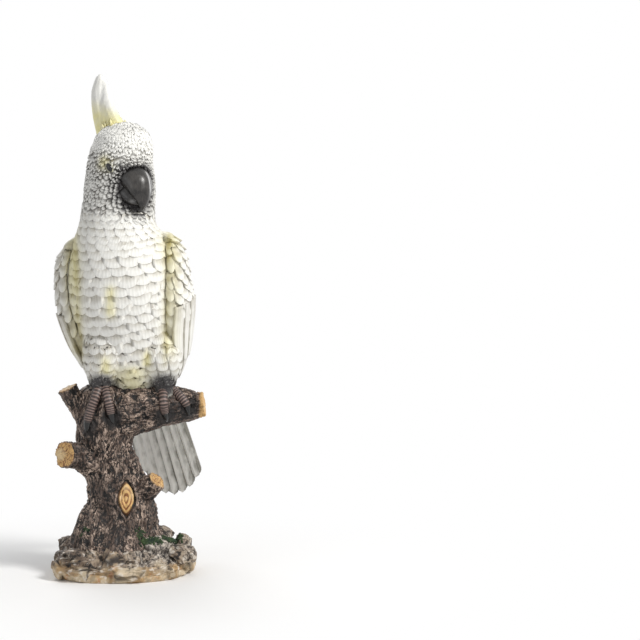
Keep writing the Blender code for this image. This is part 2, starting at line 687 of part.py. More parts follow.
def make_crest():
    for number, (base, aside, mid, mid_rise, tip, tip_rise, radius) in enumerate(PLUMES):
        crown_drop = 0.0040 + 0.55 * abs(base + 0.002)
        line = [
            (base + 0.006, CROWN_ABOVE_EYES - crown_drop - 0.004),
            (base, CROWN_ABOVE_EYES - crown_drop + 0.004),
            (mid, CROWN_ABOVE_EYES + CREST_HEIGHT * mid_rise),
            (tip, CROWN_ABOVE_EYES + CREST_HEIGHT * tip_rise),
        ]
        rings = []
        for share, width in ((0.0, 0.9), (0.25, 1.0), (0.5, 0.9), (0.75, 0.62), (0.92, 0.3)):
            ahead, above = along(line, 3 * share)
            before, after = along(line, 3 * share - 0.1), along(line, 3 * share + 0.1)
            run = in_head(after[0], 0, after[1]) - in_head(before[0], 0, before[1])
            _, forward, beside = head_frame()
            depth = beside.cross(run.normalized())
            centre = in_head(ahead, aside, above)
            rings.append(oval(centre, beside, depth, 0.75 * radius * width, radius * width, 8))
        end = in_head(line[-1][0], aside, line[-1][1])
        loft(f"plume_{number + 1}", rings, end=end)


# Legs: feathered thighs above feet whose toes lie over the wood
LEG_MIDDLE = 0.0095
LEG_FORWARD = -0.0110
THIGH = [
    # share of the leg spacing inward, forward of the leg, height above the seat, radius
    (0.40, 0.0100, 0.0500, 0.0150),
    (0.32, 0.0040, 0.0400, 0.0185),
    (0.22, 0.0010, 0.0270, 0.0190),
    (0.12, 0.0000, 0.0150, 0.0160),
    (0.04, 0.0000, 0.0060, 0.0110),
    (0.00, 0.0000, -0.0010, 0.0082),
    (0.00, 0.0000, -0.0120, 0.0076),
]
THIGH_ROWS = 5
THIGH_FEATHERS = 4
THIGH_DROP = 0.32
THIGH_FIRST_ROW = 0.55
THIGH_PITCH = 0.80


def leg_place(side):
    return Vector((LEG_MIDDLE + side * LEG_SPACING / 2, LEG_FORWARD, SEAT_HEIGHT))


def thigh_ring(side, position, drops, rise):
    """An oval round the thigh at a table index, each point lowered and pushed out by its own share."""
    foot = leg_place(side)
    ring = []
    count = len(drops)
    for i, drop in enumerate(drops):
        inward, forward, height, radius = along(THIGH, position + drop)
        angle = 2 * math.pi * i / count
        outward = Vector((math.cos(angle), math.sin(angle), 0))
        centre = foot + Vector((-side * inward * LEG_SPACING / 2, forward, height))
        ring.append(centre + outward * (radius + rise * (0.35 + 0.65 * drop / THIGH_DROP)))
    return ring


def make_thigh(side, name):
    columns = THIGH_FEATHERS * POINTS_PER_FEATHER
    level = [0.0] * columns
    rings = [thigh_ring(side, 0.0, level, 0.0)]
    for row in range(THIGH_ROWS):
        position = THIGH_FIRST_ROW + THIGH_PITCH * row
        drops = [
            THIGH_DROP * scallop(THIGH_FEATHERS * i / columns + 0.5 * (row % 2))
            for i in range(columns)
        ]
        rings.append(thigh_ring(side, position, drops, FEATHER_RELIEF))
        rings.append(thigh_ring(side, position + 0.03, drops, 0.0))
    for position in (len(THIGH) - 2, len(THIGH) - 1):
        rings.append(thigh_ring(side, position, level, 0.0))
    return loft(name, rings)


FRONT_TOES = {
    # for each foot, toes as lists of (sideways, height) from the leg, seen from the front
    -1: [
        [(0.000, 0.002), (-0.0040, -0.007), (-0.0080, -0.017), (-0.0110, -0.028), (-0.0115, -0.036)],
        [(0.001, 0.002), (0.0040, -0.006), (0.0060, -0.014), (0.0075, -0.022), (0.0090, -0.029)],
    ],
    1: [
        [(-0.001, 0.003), (-0.0010, -0.007), (-0.0005, -0.015), (0.0005, -0.022), (0.0020, -0.029)],
        [(0.002, 0.001), (0.0080, -0.006), (0.0140, -0.011), (0.0180, -0.017), (0.0190, -0.025)],
    ],
}
BACK_TOES = [
    [(-0.003, 0.002), (-0.0050, -0.007), (-0.0060, -0.016)],
    [(0.003, 0.002), (0.0055, -0.007), (0.0065, -0.016)],
]
CAST_FROM = 0.120
TOE_TAPER = (1.05, 1.02, 0.98, 0.95, 0.88, 0.66, 0.24)


def wood_surface(trees, x, z, towards):
    """Where a line along Y first meets the wood, from the front for 1 and from behind for -1."""
    origin = Vector((x, -towards * CAST_FROM, z))
    hits = [tree.ray_cast(origin, Vector((0, towards, 0)))[0] for tree in trees]
    ys = [hit.y for hit in hits if hit is not None]
    if not ys:
        return None
    return min(ys) if towards > 0 else max(ys)


def make_toe(name, trees, foot, steps, towards):
    """A toe as a tapered tube that starts in the leg and follows the wood to its claw."""
    path = []
    for number, (aside, height) in enumerate(steps):
        x, z = foot.x + aside, foot.z + height
        y = wood_surface(trees, x, z, towards) if number else foot.y
        if y is None:
            y = path[-1][1]
        path.append([x, y - towards * 0.35 * TOE_RADIUS * (number > 0), z])
    rows = resampled(path, len(TOE_TAPER))
    curve = bpy.data.curves.new(name, "CURVE")
    curve.dimensions = "3D"
    curve.bevel_depth = TOE_RADIUS
    curve.bevel_resolution = 1
    curve.use_fill_caps = True
    spline = curve.splines.new("POLY")
    spline.points.add(len(rows) - 1)
    for point, row, width in zip(spline.points, rows, TOE_TAPER):
        point.co = (*row, 1)
        point.radius = width
    tube = bpy.data.objects.new(name, curve)
    FORMS.objects.link(tube)
    graph = bpy.context.evaluated_depsgraph_get()
    mesh = bpy.data.meshes.new_from_object(tube.evaluated_get(graph))
    bpy.data.objects.remove(tube)
    bm = bmesh.new()
    bm.from_mesh(mesh)
    bmesh.ops.remove_doubles(bm, verts=bm.verts, dist=0.00002)
    bmesh.ops.recalc_face_normals(bm, faces=bm.faces)
    bmesh.ops.triangulate(bm, faces=bm.faces)
    bm.to_mesh(mesh)
    bm.free()
    return add_form(name, mesh)


def tree_of(form):
    graph = bpy.context.evaluated_depsgraph_get()
    return BVHTree.FromObject(form, graph)


def make_feet(stump):
    bpy.context.view_layer.update()
    trees = [tree_of(form) for form in stump]
    for side, foot_name in ((-1, "right"), (1, "left")):
        make_thigh(side, f"thigh_{foot_name}")
        foot = leg_place(side)
        for number, steps in enumerate(FRONT_TOES[side]):
            make_toe(f"{foot_name}_toe_{number + 1}", trees, foot, steps, 1)
        for number, steps in enumerate(BACK_TOES):
            make_toe(f"{foot_name}_back_toe_{number + 1}", trees, foot, steps, -1)


def make_scar(stump):
    """The oval scar of a cut branch: a raised lip round a low tongue of bare wood."""
    front = wood_surface([tree_of(stump[0])], SCAR_ASIDE, SCAR_LEVEL, 1)
    centre = Vector((SCAR_ASIDE, front, SCAR_LEVEL))

    def pressed(depth):
        return lambda point: centre + Vector(
            (point.x * SCAR_WIDTH / 2, -point.z * depth, point.y * SCAR_HEIGHT / 2)
        )

    bpy.ops.mesh.primitive_torus_add(
        major_segments=18, minor_segments=5, major_radius=1.0, minor_radius=SCAR_LIP_SHARE
    )
    shaped("scar_lip", pressed(SCAR_LIP_DEPTH / SCAR_LIP_SHARE))
    bpy.ops.mesh.primitive_uv_sphere_add(segments=12, ring_count=4, radius=1 - SCAR_LIP_SHARE / 2)
    shaped("scar_wood", pressed(SCAR_WOOD_DEPTH))


def make_material():
    resin = bpy.data.materials.new("painted_resin")
    resin.use_nodes = True
    shader = resin.node_tree.nodes["Principled BSDF"]
    shader.inputs["Base Color"].default_value = (0.80, 0.79, 0.74, 1)
    shader.inputs["Roughness"].default_value = 0.55
    shader.inputs["Metallic"].default_value = 0.0
    return resin


def join_forms(core):
    """One cast piece: everything in the forms collection is joined to the core."""
    figure = mesh_object("cockatoo_figurine", core.data, FIGURE)
    bpy.data.objects.remove(core)
    union = figure.modifiers.new("Join forms", "BOOLEAN")
    union.operation = "UNION"
    union.solver = "EXACT"
    union.operand_type = "COLLECTION"
    union.collection = FORMS
    figure.data.materials.append(make_material())
    return figure


def main():
    base = make_base()
    for rock in ROCKS:
        make_rock(*rock)
    stump = make_stump()
    make_scar(stump)
    make_body()
    for side, name in ((-1, "right"), (1, "left")):
        make_wing(side, f"wing_{name}")
        make_eye(side, f"eye_{name}")
    make_tail()
    make_mandible("upper_beak", UPPER_BEAK, UPPER_BEAK_TIP, 12)
    make_mandible("lower_beak", LOWER_BEAK, LOWER_BEAK_TIP, 12)
    make_crest()
    make_feet(stump)
    join_forms(base)


main()
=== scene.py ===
# %% [markdown]
# # A white cockatoo on a tree stump
#
# The figurine is one resin casting, painted by hand: a white bird on a dark stump that grows out of a
# rocky base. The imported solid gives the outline. This lesson dresses it: a carved skin for each form,
# feathers laid row by row with Geometry Nodes, and painted finishes made of nodes and vertex masks.
#
# All tables below are in millimetres, and a mesh is turned into metres when its object is made. Each
# step says what the piece is on the real figurine, how it could be made, and why it is made this way.

# %% The frame to work in
import json
import math

import bmesh
import bpy
import numpy as np
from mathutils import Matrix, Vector, noise
from mathutils.bvhtree import BVHTree

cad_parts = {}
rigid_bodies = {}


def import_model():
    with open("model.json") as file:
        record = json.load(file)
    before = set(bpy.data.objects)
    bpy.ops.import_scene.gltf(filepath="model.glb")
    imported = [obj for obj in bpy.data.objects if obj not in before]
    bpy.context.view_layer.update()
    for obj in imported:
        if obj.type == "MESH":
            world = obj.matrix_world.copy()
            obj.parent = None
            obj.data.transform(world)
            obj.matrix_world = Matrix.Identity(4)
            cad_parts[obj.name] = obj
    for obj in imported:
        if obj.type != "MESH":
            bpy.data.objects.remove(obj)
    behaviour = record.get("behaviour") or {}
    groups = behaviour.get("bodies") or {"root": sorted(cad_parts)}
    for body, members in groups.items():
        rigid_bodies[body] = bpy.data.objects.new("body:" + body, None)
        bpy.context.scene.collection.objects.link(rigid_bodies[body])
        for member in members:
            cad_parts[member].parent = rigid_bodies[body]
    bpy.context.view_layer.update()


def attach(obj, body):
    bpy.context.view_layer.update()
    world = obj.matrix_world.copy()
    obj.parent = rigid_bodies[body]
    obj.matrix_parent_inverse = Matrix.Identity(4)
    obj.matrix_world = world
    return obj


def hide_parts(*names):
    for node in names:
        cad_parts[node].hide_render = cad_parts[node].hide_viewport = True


MM = 0.001
SEAT = 152.0
CROWN = 205.5

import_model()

# %% Helpers for meshes and masks
def make_object(name, points, faces, smooth=True):
    """A mesh object from points in millimetres."""
    mesh = bpy.data.meshes.new(name)
    mesh.from_pydata((np.asarray(points) * MM).tolist(), [], faces)
    if smooth:
        mesh.shade_smooth()
    piece = bpy.data.objects.new(name, mesh)
    bpy.context.scene.collection.objects.link(piece)
    return piece


def points_of(piece):
    """The vertices of a piece, as an array in millimetres."""
    flat = np.empty(len(piece.data.vertices) * 3)
    piece.data.vertices.foreach_get("co", flat)
    return flat.reshape(-1, 3) / MM


def normals_of(piece):
    flat = np.empty(len(piece.data.vertices) * 3)
    piece.data.vertex_normals.foreach_get("vector", flat)
    return flat.reshape(-1, 3)


def move_points(piece, points):
    piece.data.vertices.foreach_set("co", (points * MM).ravel())
    piece.data.update()


def put_mask(piece, name, values):
    """Stores a number for each vertex, which a material reads by this name."""
    mask = piece.data.attributes.get(name) or piece.data.attributes.new(name, "FLOAT", "POINT")
    mask.data.foreach_set("value", np.asarray(values, float))


def number_mask(piece, name):
    values = np.empty(len(piece.data.vertices))
    piece.data.attributes[name].data.foreach_get("value", values)
    return values


def flat_masks(piece, **values):
    """Stores one number for the whole piece under each name."""
    for name, value in values.items():
        put_mask(piece, name, np.full(len(piece.data.vertices), value))


# %% Helpers for curves, noise and lofts
def smoothstep(low, high, value):
    share = np.clip((value - low) / (high - low), 0.0, 1.0)
    return share * share * (3 - 2 * share)


def band(value, low, low_full, high_full, high):
    """1 between two limits, with a soft edge on either side."""
    return smoothstep(low, low_full, value) * smoothstep(high, high_full, value)


def hump(value, middle, width):
    """A soft bell that is 1 at its middle."""
    return np.exp(-((value - middle) / width) ** 2)


def unit(vectors):
    return vectors / np.maximum(np.linalg.norm(vectors, axis=-1, keepdims=True), 1e-9)


def spline(table, position):
    """Rows of a table at fractional indexes, along a Catmull-Rom curve."""
    table = np.asarray(table, float)
    last = len(table) - 1
    position = np.clip(position, 0.0, last)
    index = np.minimum(position.astype(int), last - 1)
    t = (position - index)[..., None]
    before, start = table[np.maximum(index - 1, 0)], table[index]
    end, after = table[index + 1], table[np.minimum(index + 2, last)]
    bend = 2 * before - 5 * start + 4 * end - after + t * (3 * (start - end) + after - before)
    return start + 0.5 * t * (end - before + t * bend)


def grain(points, size, seed=0.0):
    """Smooth noise from about -1 to 1 whose lumps are size millimetres across."""
    return np.array([noise.noise(Vector(p / size) + Vector((seed, -seed, 2 * seed))) for p in points])


def grid_faces(rows, columns, closed=True):
    """Quads between rows of points. A closed grid joins its last column to its first."""
    faces = []
    for r in range(rows - 1):
        for c in range(columns if closed else columns - 1):
            d = (c + 1) % columns
            faces.append((r * columns + c, r * columns + d, (r + 1) * columns + d, (r + 1) * columns + c))
    return faces


def outward(piece):
    """Turns all faces outwards."""
    bm = bmesh.new()
    bm.from_mesh(piece.data)
    bmesh.ops.recalc_face_normals(bm, faces=bm.faces)
    if bm.calc_volume(signed=True) < 0:
        bmesh.ops.reverse_faces(bm, faces=bm.faces)
    bm.to_mesh(piece.data)
    bm.free()
    return piece


def lofted(name, rings, start=None, end=None):
    """A closed skin over rings of points, with a pole at each end."""
    rings = np.asarray(rings, float)
    rows, columns = rings.shape[:2]
    points = rings.reshape(-1, 3)
    faces = grid_faces(rows, columns)
    poles = [rings[0].mean(0) if start is None else start, rings[-1].mean(0) if end is None else end]
    points = np.vstack([points, poles])
    first, last = len(points) - 2, len(points) - 1
    for c in range(columns):
        d = (c + 1) % columns
        faces.append((first, d, c))
        faces.append((last, (rows - 1) * columns + c, (rows - 1) * columns + d))
    return outward(make_object(name, points, faces))


# %% [markdown]
# ## The camera, the light and the floor
#
# The photograph looks at the figurine from a little above its middle. The figurine stands left of the picture's
# centre, so the camera aims to its right. Soft lamps light it plainly: the large one stands right in front, so the
# left side of the head and breast falls into a light grey, which painted shade in the plumage deepens. The backdrop
# is white to the camera only, so it adds no light of its own to the object.

# %% Camera and lamps
CAMERA_PLACE = Vector((0.0, -1.5, 0.32))
CAMERA_AIM = Vector((0.159, 0.0, 0.2008))
PICTURE_WIDTH = 0.512

camera = bpy.data.objects.new("camera", bpy.data.cameras.new("camera"))
camera.location = CAMERA_PLACE
camera.rotation_euler = (CAMERA_AIM - CAMERA_PLACE).to_track_quat("-Z", "Y").to_euler()
camera.data.angle = 2 * math.atan(PICTURE_WIDTH / 2 / (CAMERA_AIM - CAMERA_PLACE).length)
camera.data.clip_end = 30
bpy.context.scene.collection.objects.link(camera)
bpy.context.scene.camera = camera
bpy.context.scene.view_settings.view_transform = "Standard"


def area_lamp(name, place, aim, size, watts, colour=(1, 1, 1)):
    lamp = bpy.data.lights.new(name, "AREA")
    lamp.shape = "DISK"
    lamp.size = size
    lamp.energy = watts
    lamp.color = colour
    stand = bpy.data.objects.new(name, lamp)
    stand.location = place
    stand.rotation_euler = (Vector(aim) - Vector(place)).to_track_quat("-Z", "Y").to_euler()
    bpy.context.scene.collection.objects.link(stand)


area_lamp("key_lamp", (1.10, -0.85, 1.35), (0, 0, 0.2), 0.50, 27.0, (1.0, 0.985, 0.96))
area_lamp("fill_lamp", (-1.30, -1.10, 0.70), (0, 0, 0.2), 1.2, 3.2, (0.96, 0.98, 1.0))
area_lamp("back_lamp", (-0.30, 1.30, 1.10), (0, 0, 0.2), 1.2, 9.0)


# %% White backdrop and floor
def seen_directly(tree):
    """1 where a ray comes from the camera, a mirror or glass, 0 where it only carries light."""
    path = tree.nodes.new("ShaderNodeLightPath")
    total = None
    for output in ("Is Camera Ray", "Is Glossy Ray", "Is Transmission Ray"):
        if total is None:
            total = path.outputs[output]
            continue
        either = tree.nodes.new("ShaderNodeMath")
        either.operation = "MAXIMUM"
        tree.links.new(total, either.inputs[0])
        tree.links.new(path.outputs[output], either.inputs[1])
        total = either.outputs[0]
    return total


world = bpy.data.worlds.new("studio")
bpy.context.scene.world = world
world.use_nodes = True
sky = world.node_tree.nodes["Background"]
strength = world.node_tree.nodes.new("ShaderNodeMapRange")
world.node_tree.links.new(seen_directly(world.node_tree), strength.inputs["Value"])
strength.inputs["To Min"].default_value = 0.36
strength.inputs["To Max"].default_value = 1.0
world.node_tree.links.new(strength.outputs["Result"], sky.inputs["Strength"])
sky.inputs["Color"].default_value = (1, 1, 1, 1)

FLOOR_REACH = 3000.0
corners = [(x * FLOOR_REACH, y * FLOOR_REACH, 0) for x, y in ((-1, -1), (1, -1), (1, 1), (-1, 1))]
floor = make_object("floor", corners, [(0, 1, 2, 3)])
floor_paint = bpy.data.materials.new("white_floor")
floor_paint.use_nodes = True
floor_tree = floor_paint.node_tree
link = floor_tree.links.new
floor_shader = floor_tree.nodes["Principled BSDF"]
floor_shader.inputs["Base Color"].default_value = (0.9, 0.9, 0.9, 1)
floor_shader.inputs["Roughness"].default_value = 0.9
glow = floor_tree.nodes.new("ShaderNodeEmission")
glow.inputs["Strength"].default_value = 1.0
blend = floor_tree.nodes.new("ShaderNodeMixShader")
spot = floor_tree.nodes.new("ShaderNodeTexCoord")
reach = floor_tree.nodes.new("ShaderNodeVectorMath")
reach.operation = "LENGTH"
fade = floor_tree.nodes.new("ShaderNodeMapRange")
fade.interpolation_type = "SMOOTHSTEP"
fade.inputs["From Min"].default_value = 0.07
fade.inputs["From Max"].default_value = 0.30
both = floor_tree.nodes.new("ShaderNodeMath")
both.operation = "MULTIPLY"
link(spot.outputs["Object"], reach.inputs[0])
link(reach.outputs["Value"], fade.inputs["Value"])
link(fade.outputs["Result"], both.inputs[0])
link(seen_directly(floor_tree), both.inputs[1])
link(both.outputs[0], blend.inputs["Fac"])
link(floor_shader.outputs["BSDF"], blend.inputs[1])
link(glow.outputs["Emission"], blend.inputs[2])
link(blend.outputs[0], floor_tree.nodes["Material Output"].inputs["Surface"])
floor.data.materials.append(floor_paint)

# %% [markdown]
# ## The bird's body as a measured surface
#
# A carver roughs the bird out as one egg-like form, with the head turned and the tail end tucked back.
# It could be sculpted, but then feathers would have to be laid by eye. Here a table gives ovals from the
# crown down to the root of the tail, and every feather is placed by two numbers, the distance down the
# front and the angle round the body, so the rows stay even.

# %% The body's ovals
BODY = np.array([
    # height above the seat as a share of the crown's, x, y, half width, half depth, turn in degrees
    (1.000, 4.0, -5.0, 0.0, 0.0, 35.0),
    (0.993, 4.0, -5.0, 8.8, 9.5, 35.0),
    (0.972, 4.0, -5.0, 15.9, 17.4, 35.0),
    (0.939, 3.8, -5.4, 20.8, 22.6, 35.0),
    (0.895, 3.0, -5.8, 22.4, 24.7, 35.0),
    (0.842, 1.2, -5.4, 24.2, 26.2, 35.0),
    (0.760, 0.8, -4.0, 27.4, 25.3, 31.5),
    (0.682, -0.2, -3.6, 27.7, 25.3, 21.0),
    (0.613, -1.2, -4.0, 29.2, 28.5, 7.0),
    (0.545, -0.5, -2.5, 35.7, 32.4, -6.2),
    (0.467, 1.4, -0.8, 40.9, 37.3, -13.2),
    (0.355, 3.3, 2.5, 43.5, 40.5, -15.5),
    (0.243, 6.8, 7.0, 40.9, 40.1, -15.5),
    (0.146, 10.6, 10.5, 35.4, 38.7, -15.5),
    (0.058, 13.6, 16.8, 29.6, 33.6, -15.5),
    (-0.010, 16.2, 26.8, 21.5, 21.1, -18.6),
    (-0.068, 19.5, 34.0, 15.0, 10.8, -21.7),
    (-0.117, 22.5, 39.0, 10.3, 6.0, -24.8),
])


def body_section(u):
    """Centre, forward, sideways and downward directions and half sizes at fractional table rows."""
    row = spline(BODY, u)
    centre = np.stack([row[..., 1], row[..., 2], SEAT + row[..., 0] * CROWN], -1)
    above, below = spline(BODY, u - 0.3), spline(BODY, u + 0.3)
    drop = below - above
    down = unit(np.stack([drop[..., 1], drop[..., 2], drop[..., 0] * CROWN], -1))
    facing = np.radians(row[..., 5])
    forward = np.stack([np.sin(facing), -np.cos(facing), 0 * facing], -1)
    forward = unit(forward - down * (forward * down).sum(-1, keepdims=True))
    sideways = np.cross(forward, down)
    return centre, forward, sideways, down, row[..., 3:4], row[..., 4:5]


def skin(u, angle):
    centre, forward, sideways, _, half_width, half_depth = body_section(u)
    angle = angle[..., None]
    return centre + sideways * half_width * np.sin(angle) + forward * half_depth * np.cos(angle)


FRONT_ROWS = np.linspace(0, len(BODY) - 1, 700)
front_line = skin(FRONT_ROWS, np.zeros(700))
FRONT_DISTANCES = np.concatenate([[0], np.cumsum(np.linalg.norm(np.diff(front_line, axis=0), axis=1))])
FRONT_HEIGHTS = spline(BODY, FRONT_ROWS)[:, 0] * CROWN
BODY_LENGTH = FRONT_DISTANCES[-1]
print("length of the front from crown to tail root:", round(BODY_LENGTH, 1), "mm")


# %% Places on the body
def distance_at_height(height):
    return float(np.interp(-height, -FRONT_HEIGHTS, FRONT_DISTANCES))


def on_body(distance, angle, lift=0.0):
    """(points, outward normals, directions down the skin) at distances down the front and angles."""
    distance, angle = np.broadcast_arrays(np.asarray(distance, float), np.asarray(angle, float))
    u = np.interp(distance, FRONT_DISTANCES, FRONT_ROWS)
    point = skin(u, angle)
    down = unit(skin(u + 0.05, angle) - skin(u - 0.05, angle))
    around = unit(skin(u, angle + 0.02) - skin(u, angle - 0.02))
    normal = unit(np.cross(down, around))
    return point + normal * np.asarray(lift)[..., None], normal, down


# %% [markdown]
# ## Feathers as one small mesh, laid on points
#
# Every breast feather is the same small shell: rooted in the skin, domed, and ending in a round edge that steps back
# down to the skin, as a mould needs. It has a few dozen faces, because it is used hundreds of times. Its own numbers
# `tip` and `across` say where on the feather a point is, so the paint can darken the root with wash and painted
# shade and draw the fine barbs.

# %% The feather shell
FEATHER_ROWS = (0.0, 0.22, 0.42, 0.60, 0.76, 0.89, 0.97, 1.0)
FEATHER_COLUMNS = 7


def feather_shell(name, columns=FEATHER_COLUMNS, rows=FEATHER_ROWS, point=0.26, shaft=0.0):
    """A feather one unit wide, long and thick: +Y runs to its tip and +Z away from the skin."""
    across = np.linspace(-1, 1, columns)
    points, tips = [], []
    for t in rows:
        for c in across:
            y = t * (1 - point * abs(c) ** 2.3)
            z = (-0.7 + 1.7 * smoothstep(0.0, 0.80, t)) * (1 - 0.45 * c * c) - 0.55 * abs(c) ** 5
            z += shaft * (1 - smoothstep(0.0, 0.34, abs(c))) * smoothstep(0.0, 0.3, t) * (1 - t**4)
            points.append((0.5 * c * (0.82 + 0.18 * smoothstep(0, 0.45, t)), y - 0.72, z - 0.25 * t**8))
            tips.append((t, c))
    for c in across:
        y = 0.965 * (1 - point * abs(c) ** 2.3)
        points.append((0.48 * c, y - 0.72, -0.9))
        tips.append((1.0, c))
    faces = list(grid_faces(len(rows) + 1, columns, closed=False))
    last = len(rows) * columns
    around_rim = [r * columns for r in range(len(rows) + 1)] + list(range(last + 1, last + columns))
    around_rim += [r * columns + columns - 1 for r in range(len(rows) - 1, -1, -1)] + list(range(columns - 2, 0, -1))
    faces.append(tuple(around_rim))
    shell = outward(make_object(name, np.array(points) / MM, faces))
    put_mask(shell, "tip", [t for t, _ in tips])
    put_mask(shell, "across", [c for _, c in tips])
    shell.hide_render = True
    return shell


breast_shell = feather_shell("breast_feather")
tuft_shell = feather_shell("head_tuft", 5, (0.0, 0.35, 0.65, 0.88, 1.0), 0.50)
covert_shell = feather_shell("wing_covert", 7, FEATHER_ROWS, 0.34, 0.2)
print("faces of one breast feather:", len(breast_shell.data.polygons))

# %% [markdown]
# ## The tree that lays them
#
# Each point carries three vectors: `out` from the skin, `down` along the feather, and `size`. The tree
# turns a feather into that position, ruffles it a little by a fixed seed, makes the copies real and
# gives them their paint. The same tree lays breast feathers, head tufts, wing coverts and moss. A loop
# could copy the shells too, but a tree keeps the sizes, the ruffle and the seed as inputs to try.

# %% A helper for nodes
def node(tree, kind, x, y, **values):
    made = tree.nodes.new(kind)
    made.location = (x, y)
    for name, value in values.items():
        setattr(made, name, value)
    return made


# %% The laying tree
def laying_tree():
    """Feathers on points: named inputs, a fixed seed, real copies and their paint."""
    tree = bpy.data.node_groups.new("Lay feathers", "GeometryNodeTree")
    face, link = tree.interface, tree.links.new
    face.new_socket("Geometry", in_out="INPUT", socket_type="NodeSocketGeometry")
    face.new_socket("Feather", in_out="INPUT", socket_type="NodeSocketObject")
    for name, value in (("Width", 1.0), ("Length", 1.0), ("Thickness", 1.0), ("Ruffle", 4.0)):
        face.new_socket(name, in_out="INPUT", socket_type="NodeSocketFloat").default_value = value
    face.new_socket("Seed", in_out="INPUT", socket_type="NodeSocketInt").default_value = 1
    face.new_socket("Paint", in_out="INPUT", socket_type="NodeSocketMaterial")
    face.new_socket("Geometry", in_out="OUTPUT", socket_type="NodeSocketGeometry")
    start = node(tree, "NodeGroupInput", -900, 0)
    end = node(tree, "NodeGroupOutput", 900, 0)
    vectors = {}
    for row, name in enumerate(("out", "down", "size")):
        y = -300 - 160 * row
        vectors[name] = node(tree, "GeometryNodeInputNamedAttribute", -900, y, data_type="FLOAT_VECTOR")
        vectors[name].inputs["Name"].default_value = name
    turn = node(tree, "FunctionNodeAxesToRotation", -600, -300, primary_axis="Z", secondary_axis="Y")
    link(vectors["out"].outputs["Attribute"], turn.inputs["Primary Axis"])
    link(vectors["down"].outputs["Attribute"], turn.inputs["Secondary Axis"])
    chance = node(tree, "FunctionNodeRandomValue", -600, -560, data_type="FLOAT_VECTOR")
    chance.inputs["Min"].default_value = (-1, -1, -1)
    link(start.outputs["Seed"], chance.inputs["Seed"])
    degrees = node(tree, "ShaderNodeVectorMath", -420, -560, operation="SCALE")
    link(chance.outputs["Value"], degrees.inputs[0])
    ruffle = node(tree, "ShaderNodeMath", -600, -760, operation="RADIANS")
    link(start.outputs["Ruffle"], ruffle.inputs[0])
    link(ruffle.outputs[0], degrees.inputs["Scale"])
    nudge = node(tree, "FunctionNodeEulerToRotation", -240, -560)
    link(degrees.outputs[0], nudge.inputs[0])
    ruffled = node(tree, "FunctionNodeRotateRotation", -60, -400, rotation_space="LOCAL")
    link(turn.outputs[0], ruffled.inputs["Rotation"])
    link(nudge.outputs[0], ruffled.inputs["Rotate By"])
    feather = node(tree, "GeometryNodeObjectInfo", -60, 0)
    link(start.outputs["Feather"], feather.inputs["Object"])
    sizes = node(tree, "ShaderNodeCombineXYZ", -240, -120)
    for axis, name in zip("XYZ", ("Width", "Length", "Thickness")):
        link(start.outputs[name], sizes.inputs[axis])
    scale = node(tree, "ShaderNodeVectorMath", -60, -180, operation="MULTIPLY")
    link(sizes.outputs[0], scale.inputs[0])
    link(vectors["size"].outputs["Attribute"], scale.inputs[1])
    metres = node(tree, "ShaderNodeVectorMath", 120, -180, operation="SCALE")
    metres.inputs["Scale"].default_value = MM
    link(scale.outputs[0], metres.inputs[0])
    copies = node(tree, "GeometryNodeInstanceOnPoints", 320, 0)
    link(start.outputs["Geometry"], copies.inputs["Points"])
    link(feather.outputs["Geometry"], copies.inputs["Instance"])
    link(ruffled.outputs[0], copies.inputs["Rotation"])
    link(metres.outputs[0], copies.inputs["Scale"])
    real = node(tree, "GeometryNodeRealizeInstances", 520, 0)
    paint = node(tree, "GeometryNodeSetMaterial", 700, 0)
    link(copies.outputs[0], real.inputs[0])
    link(real.outputs[0], paint.inputs["Geometry"])
    link(start.outputs["Paint"], paint.inputs["Material"])
    link(paint.outputs[0], end.inputs[0])
    return tree


LAYING = laying_tree()
print("inputs of the laying tree:", [i.name for i in LAYING.interface.items_tree if i.in_out == "INPUT"])


# %% Laying with the tree
def made_plain(name, piece):
    """The evaluated piece as a new object with a plain mesh; the old one is removed."""
    graph = bpy.context.evaluated_depsgraph_get()
    mesh = bpy.data.meshes.new_from_object(piece.evaluated_get(graph))
    bpy.data.objects.remove(piece)
    mesh.name = name
    plain = bpy.data.objects.new(name, mesh)
    bpy.context.scene.collection.objects.link(plain)
    return plain


def lay(name, shell, points, out, down, size, paint, ruffle, seed):
    """Lays a shell on every point; size holds each copy's width, length and thickness in millimetres."""
    carrier = make_object(name + "_points", points, [])
    for label, vectors in (("out", out), ("down", down), ("size", size)):
        field = carrier.data.attributes.new(label, "FLOAT_VECTOR", "POINT")
        field.data.foreach_set("vector", np.asarray(vectors, float).ravel())
    modifier = carrier.modifiers.new("Lay feathers", "NODES")
    modifier.node_group = LAYING
    values = {"Feather": shell, "Width": 1.0, "Length": 1.0, "Thickness": 1.0}
    values.update({"Ruffle": ruffle, "Seed": seed, "Paint": paint})
    for item in LAYING.interface.items_tree:
        if item.in_out == "INPUT" and item.name in values:
            modifier[item.identifier] = values[item.name]
    plain = made_plain(name, carrier)
    for label in ("out", "down", "size"):
        field = plain.data.attributes.get(label)
        if field:
            plain.data.attributes.remove(field)
    print(name, "has", len(points), "copies and", len(plain.data.polygons), "faces")
    return plain


# %% [markdown]
# ## Paint
#
# The casting is sprayed off-white and then washed with thin grey, which stays in the low places; the same grey also
# carries painted shade at the roots, sides and rims of the feathers, on the left side as seen and low on the belly.
# A little yellow goes into the folds beside the wings, and dark paint with painted shade goes over the feet and
# between the tufts round the beak. The group below mixes those layers from masks, so body, wings, crest and tail
# share one way of painting.

# %% Helpers for shader groups
def group_of(name, inputs, outputs):
    tree = bpy.data.node_groups.new(name, "ShaderNodeTree")
    for label, kind, value in inputs:
        socket = tree.interface.new_socket(label, in_out="INPUT", socket_type=kind)
        socket.default_value = value
    for label, kind in outputs:
        tree.interface.new_socket(label, in_out="OUTPUT", socket_type=kind)
    return tree, node(tree, "NodeGroupInput", -1200, 0), node(tree, "NodeGroupOutput", 900, 0)


def attribute(tree, name, x, y):
    made = node(tree, "ShaderNodeAttribute", x, y, attribute_type="GEOMETRY")
    made.attribute_name = name
    return made.outputs["Fac"]


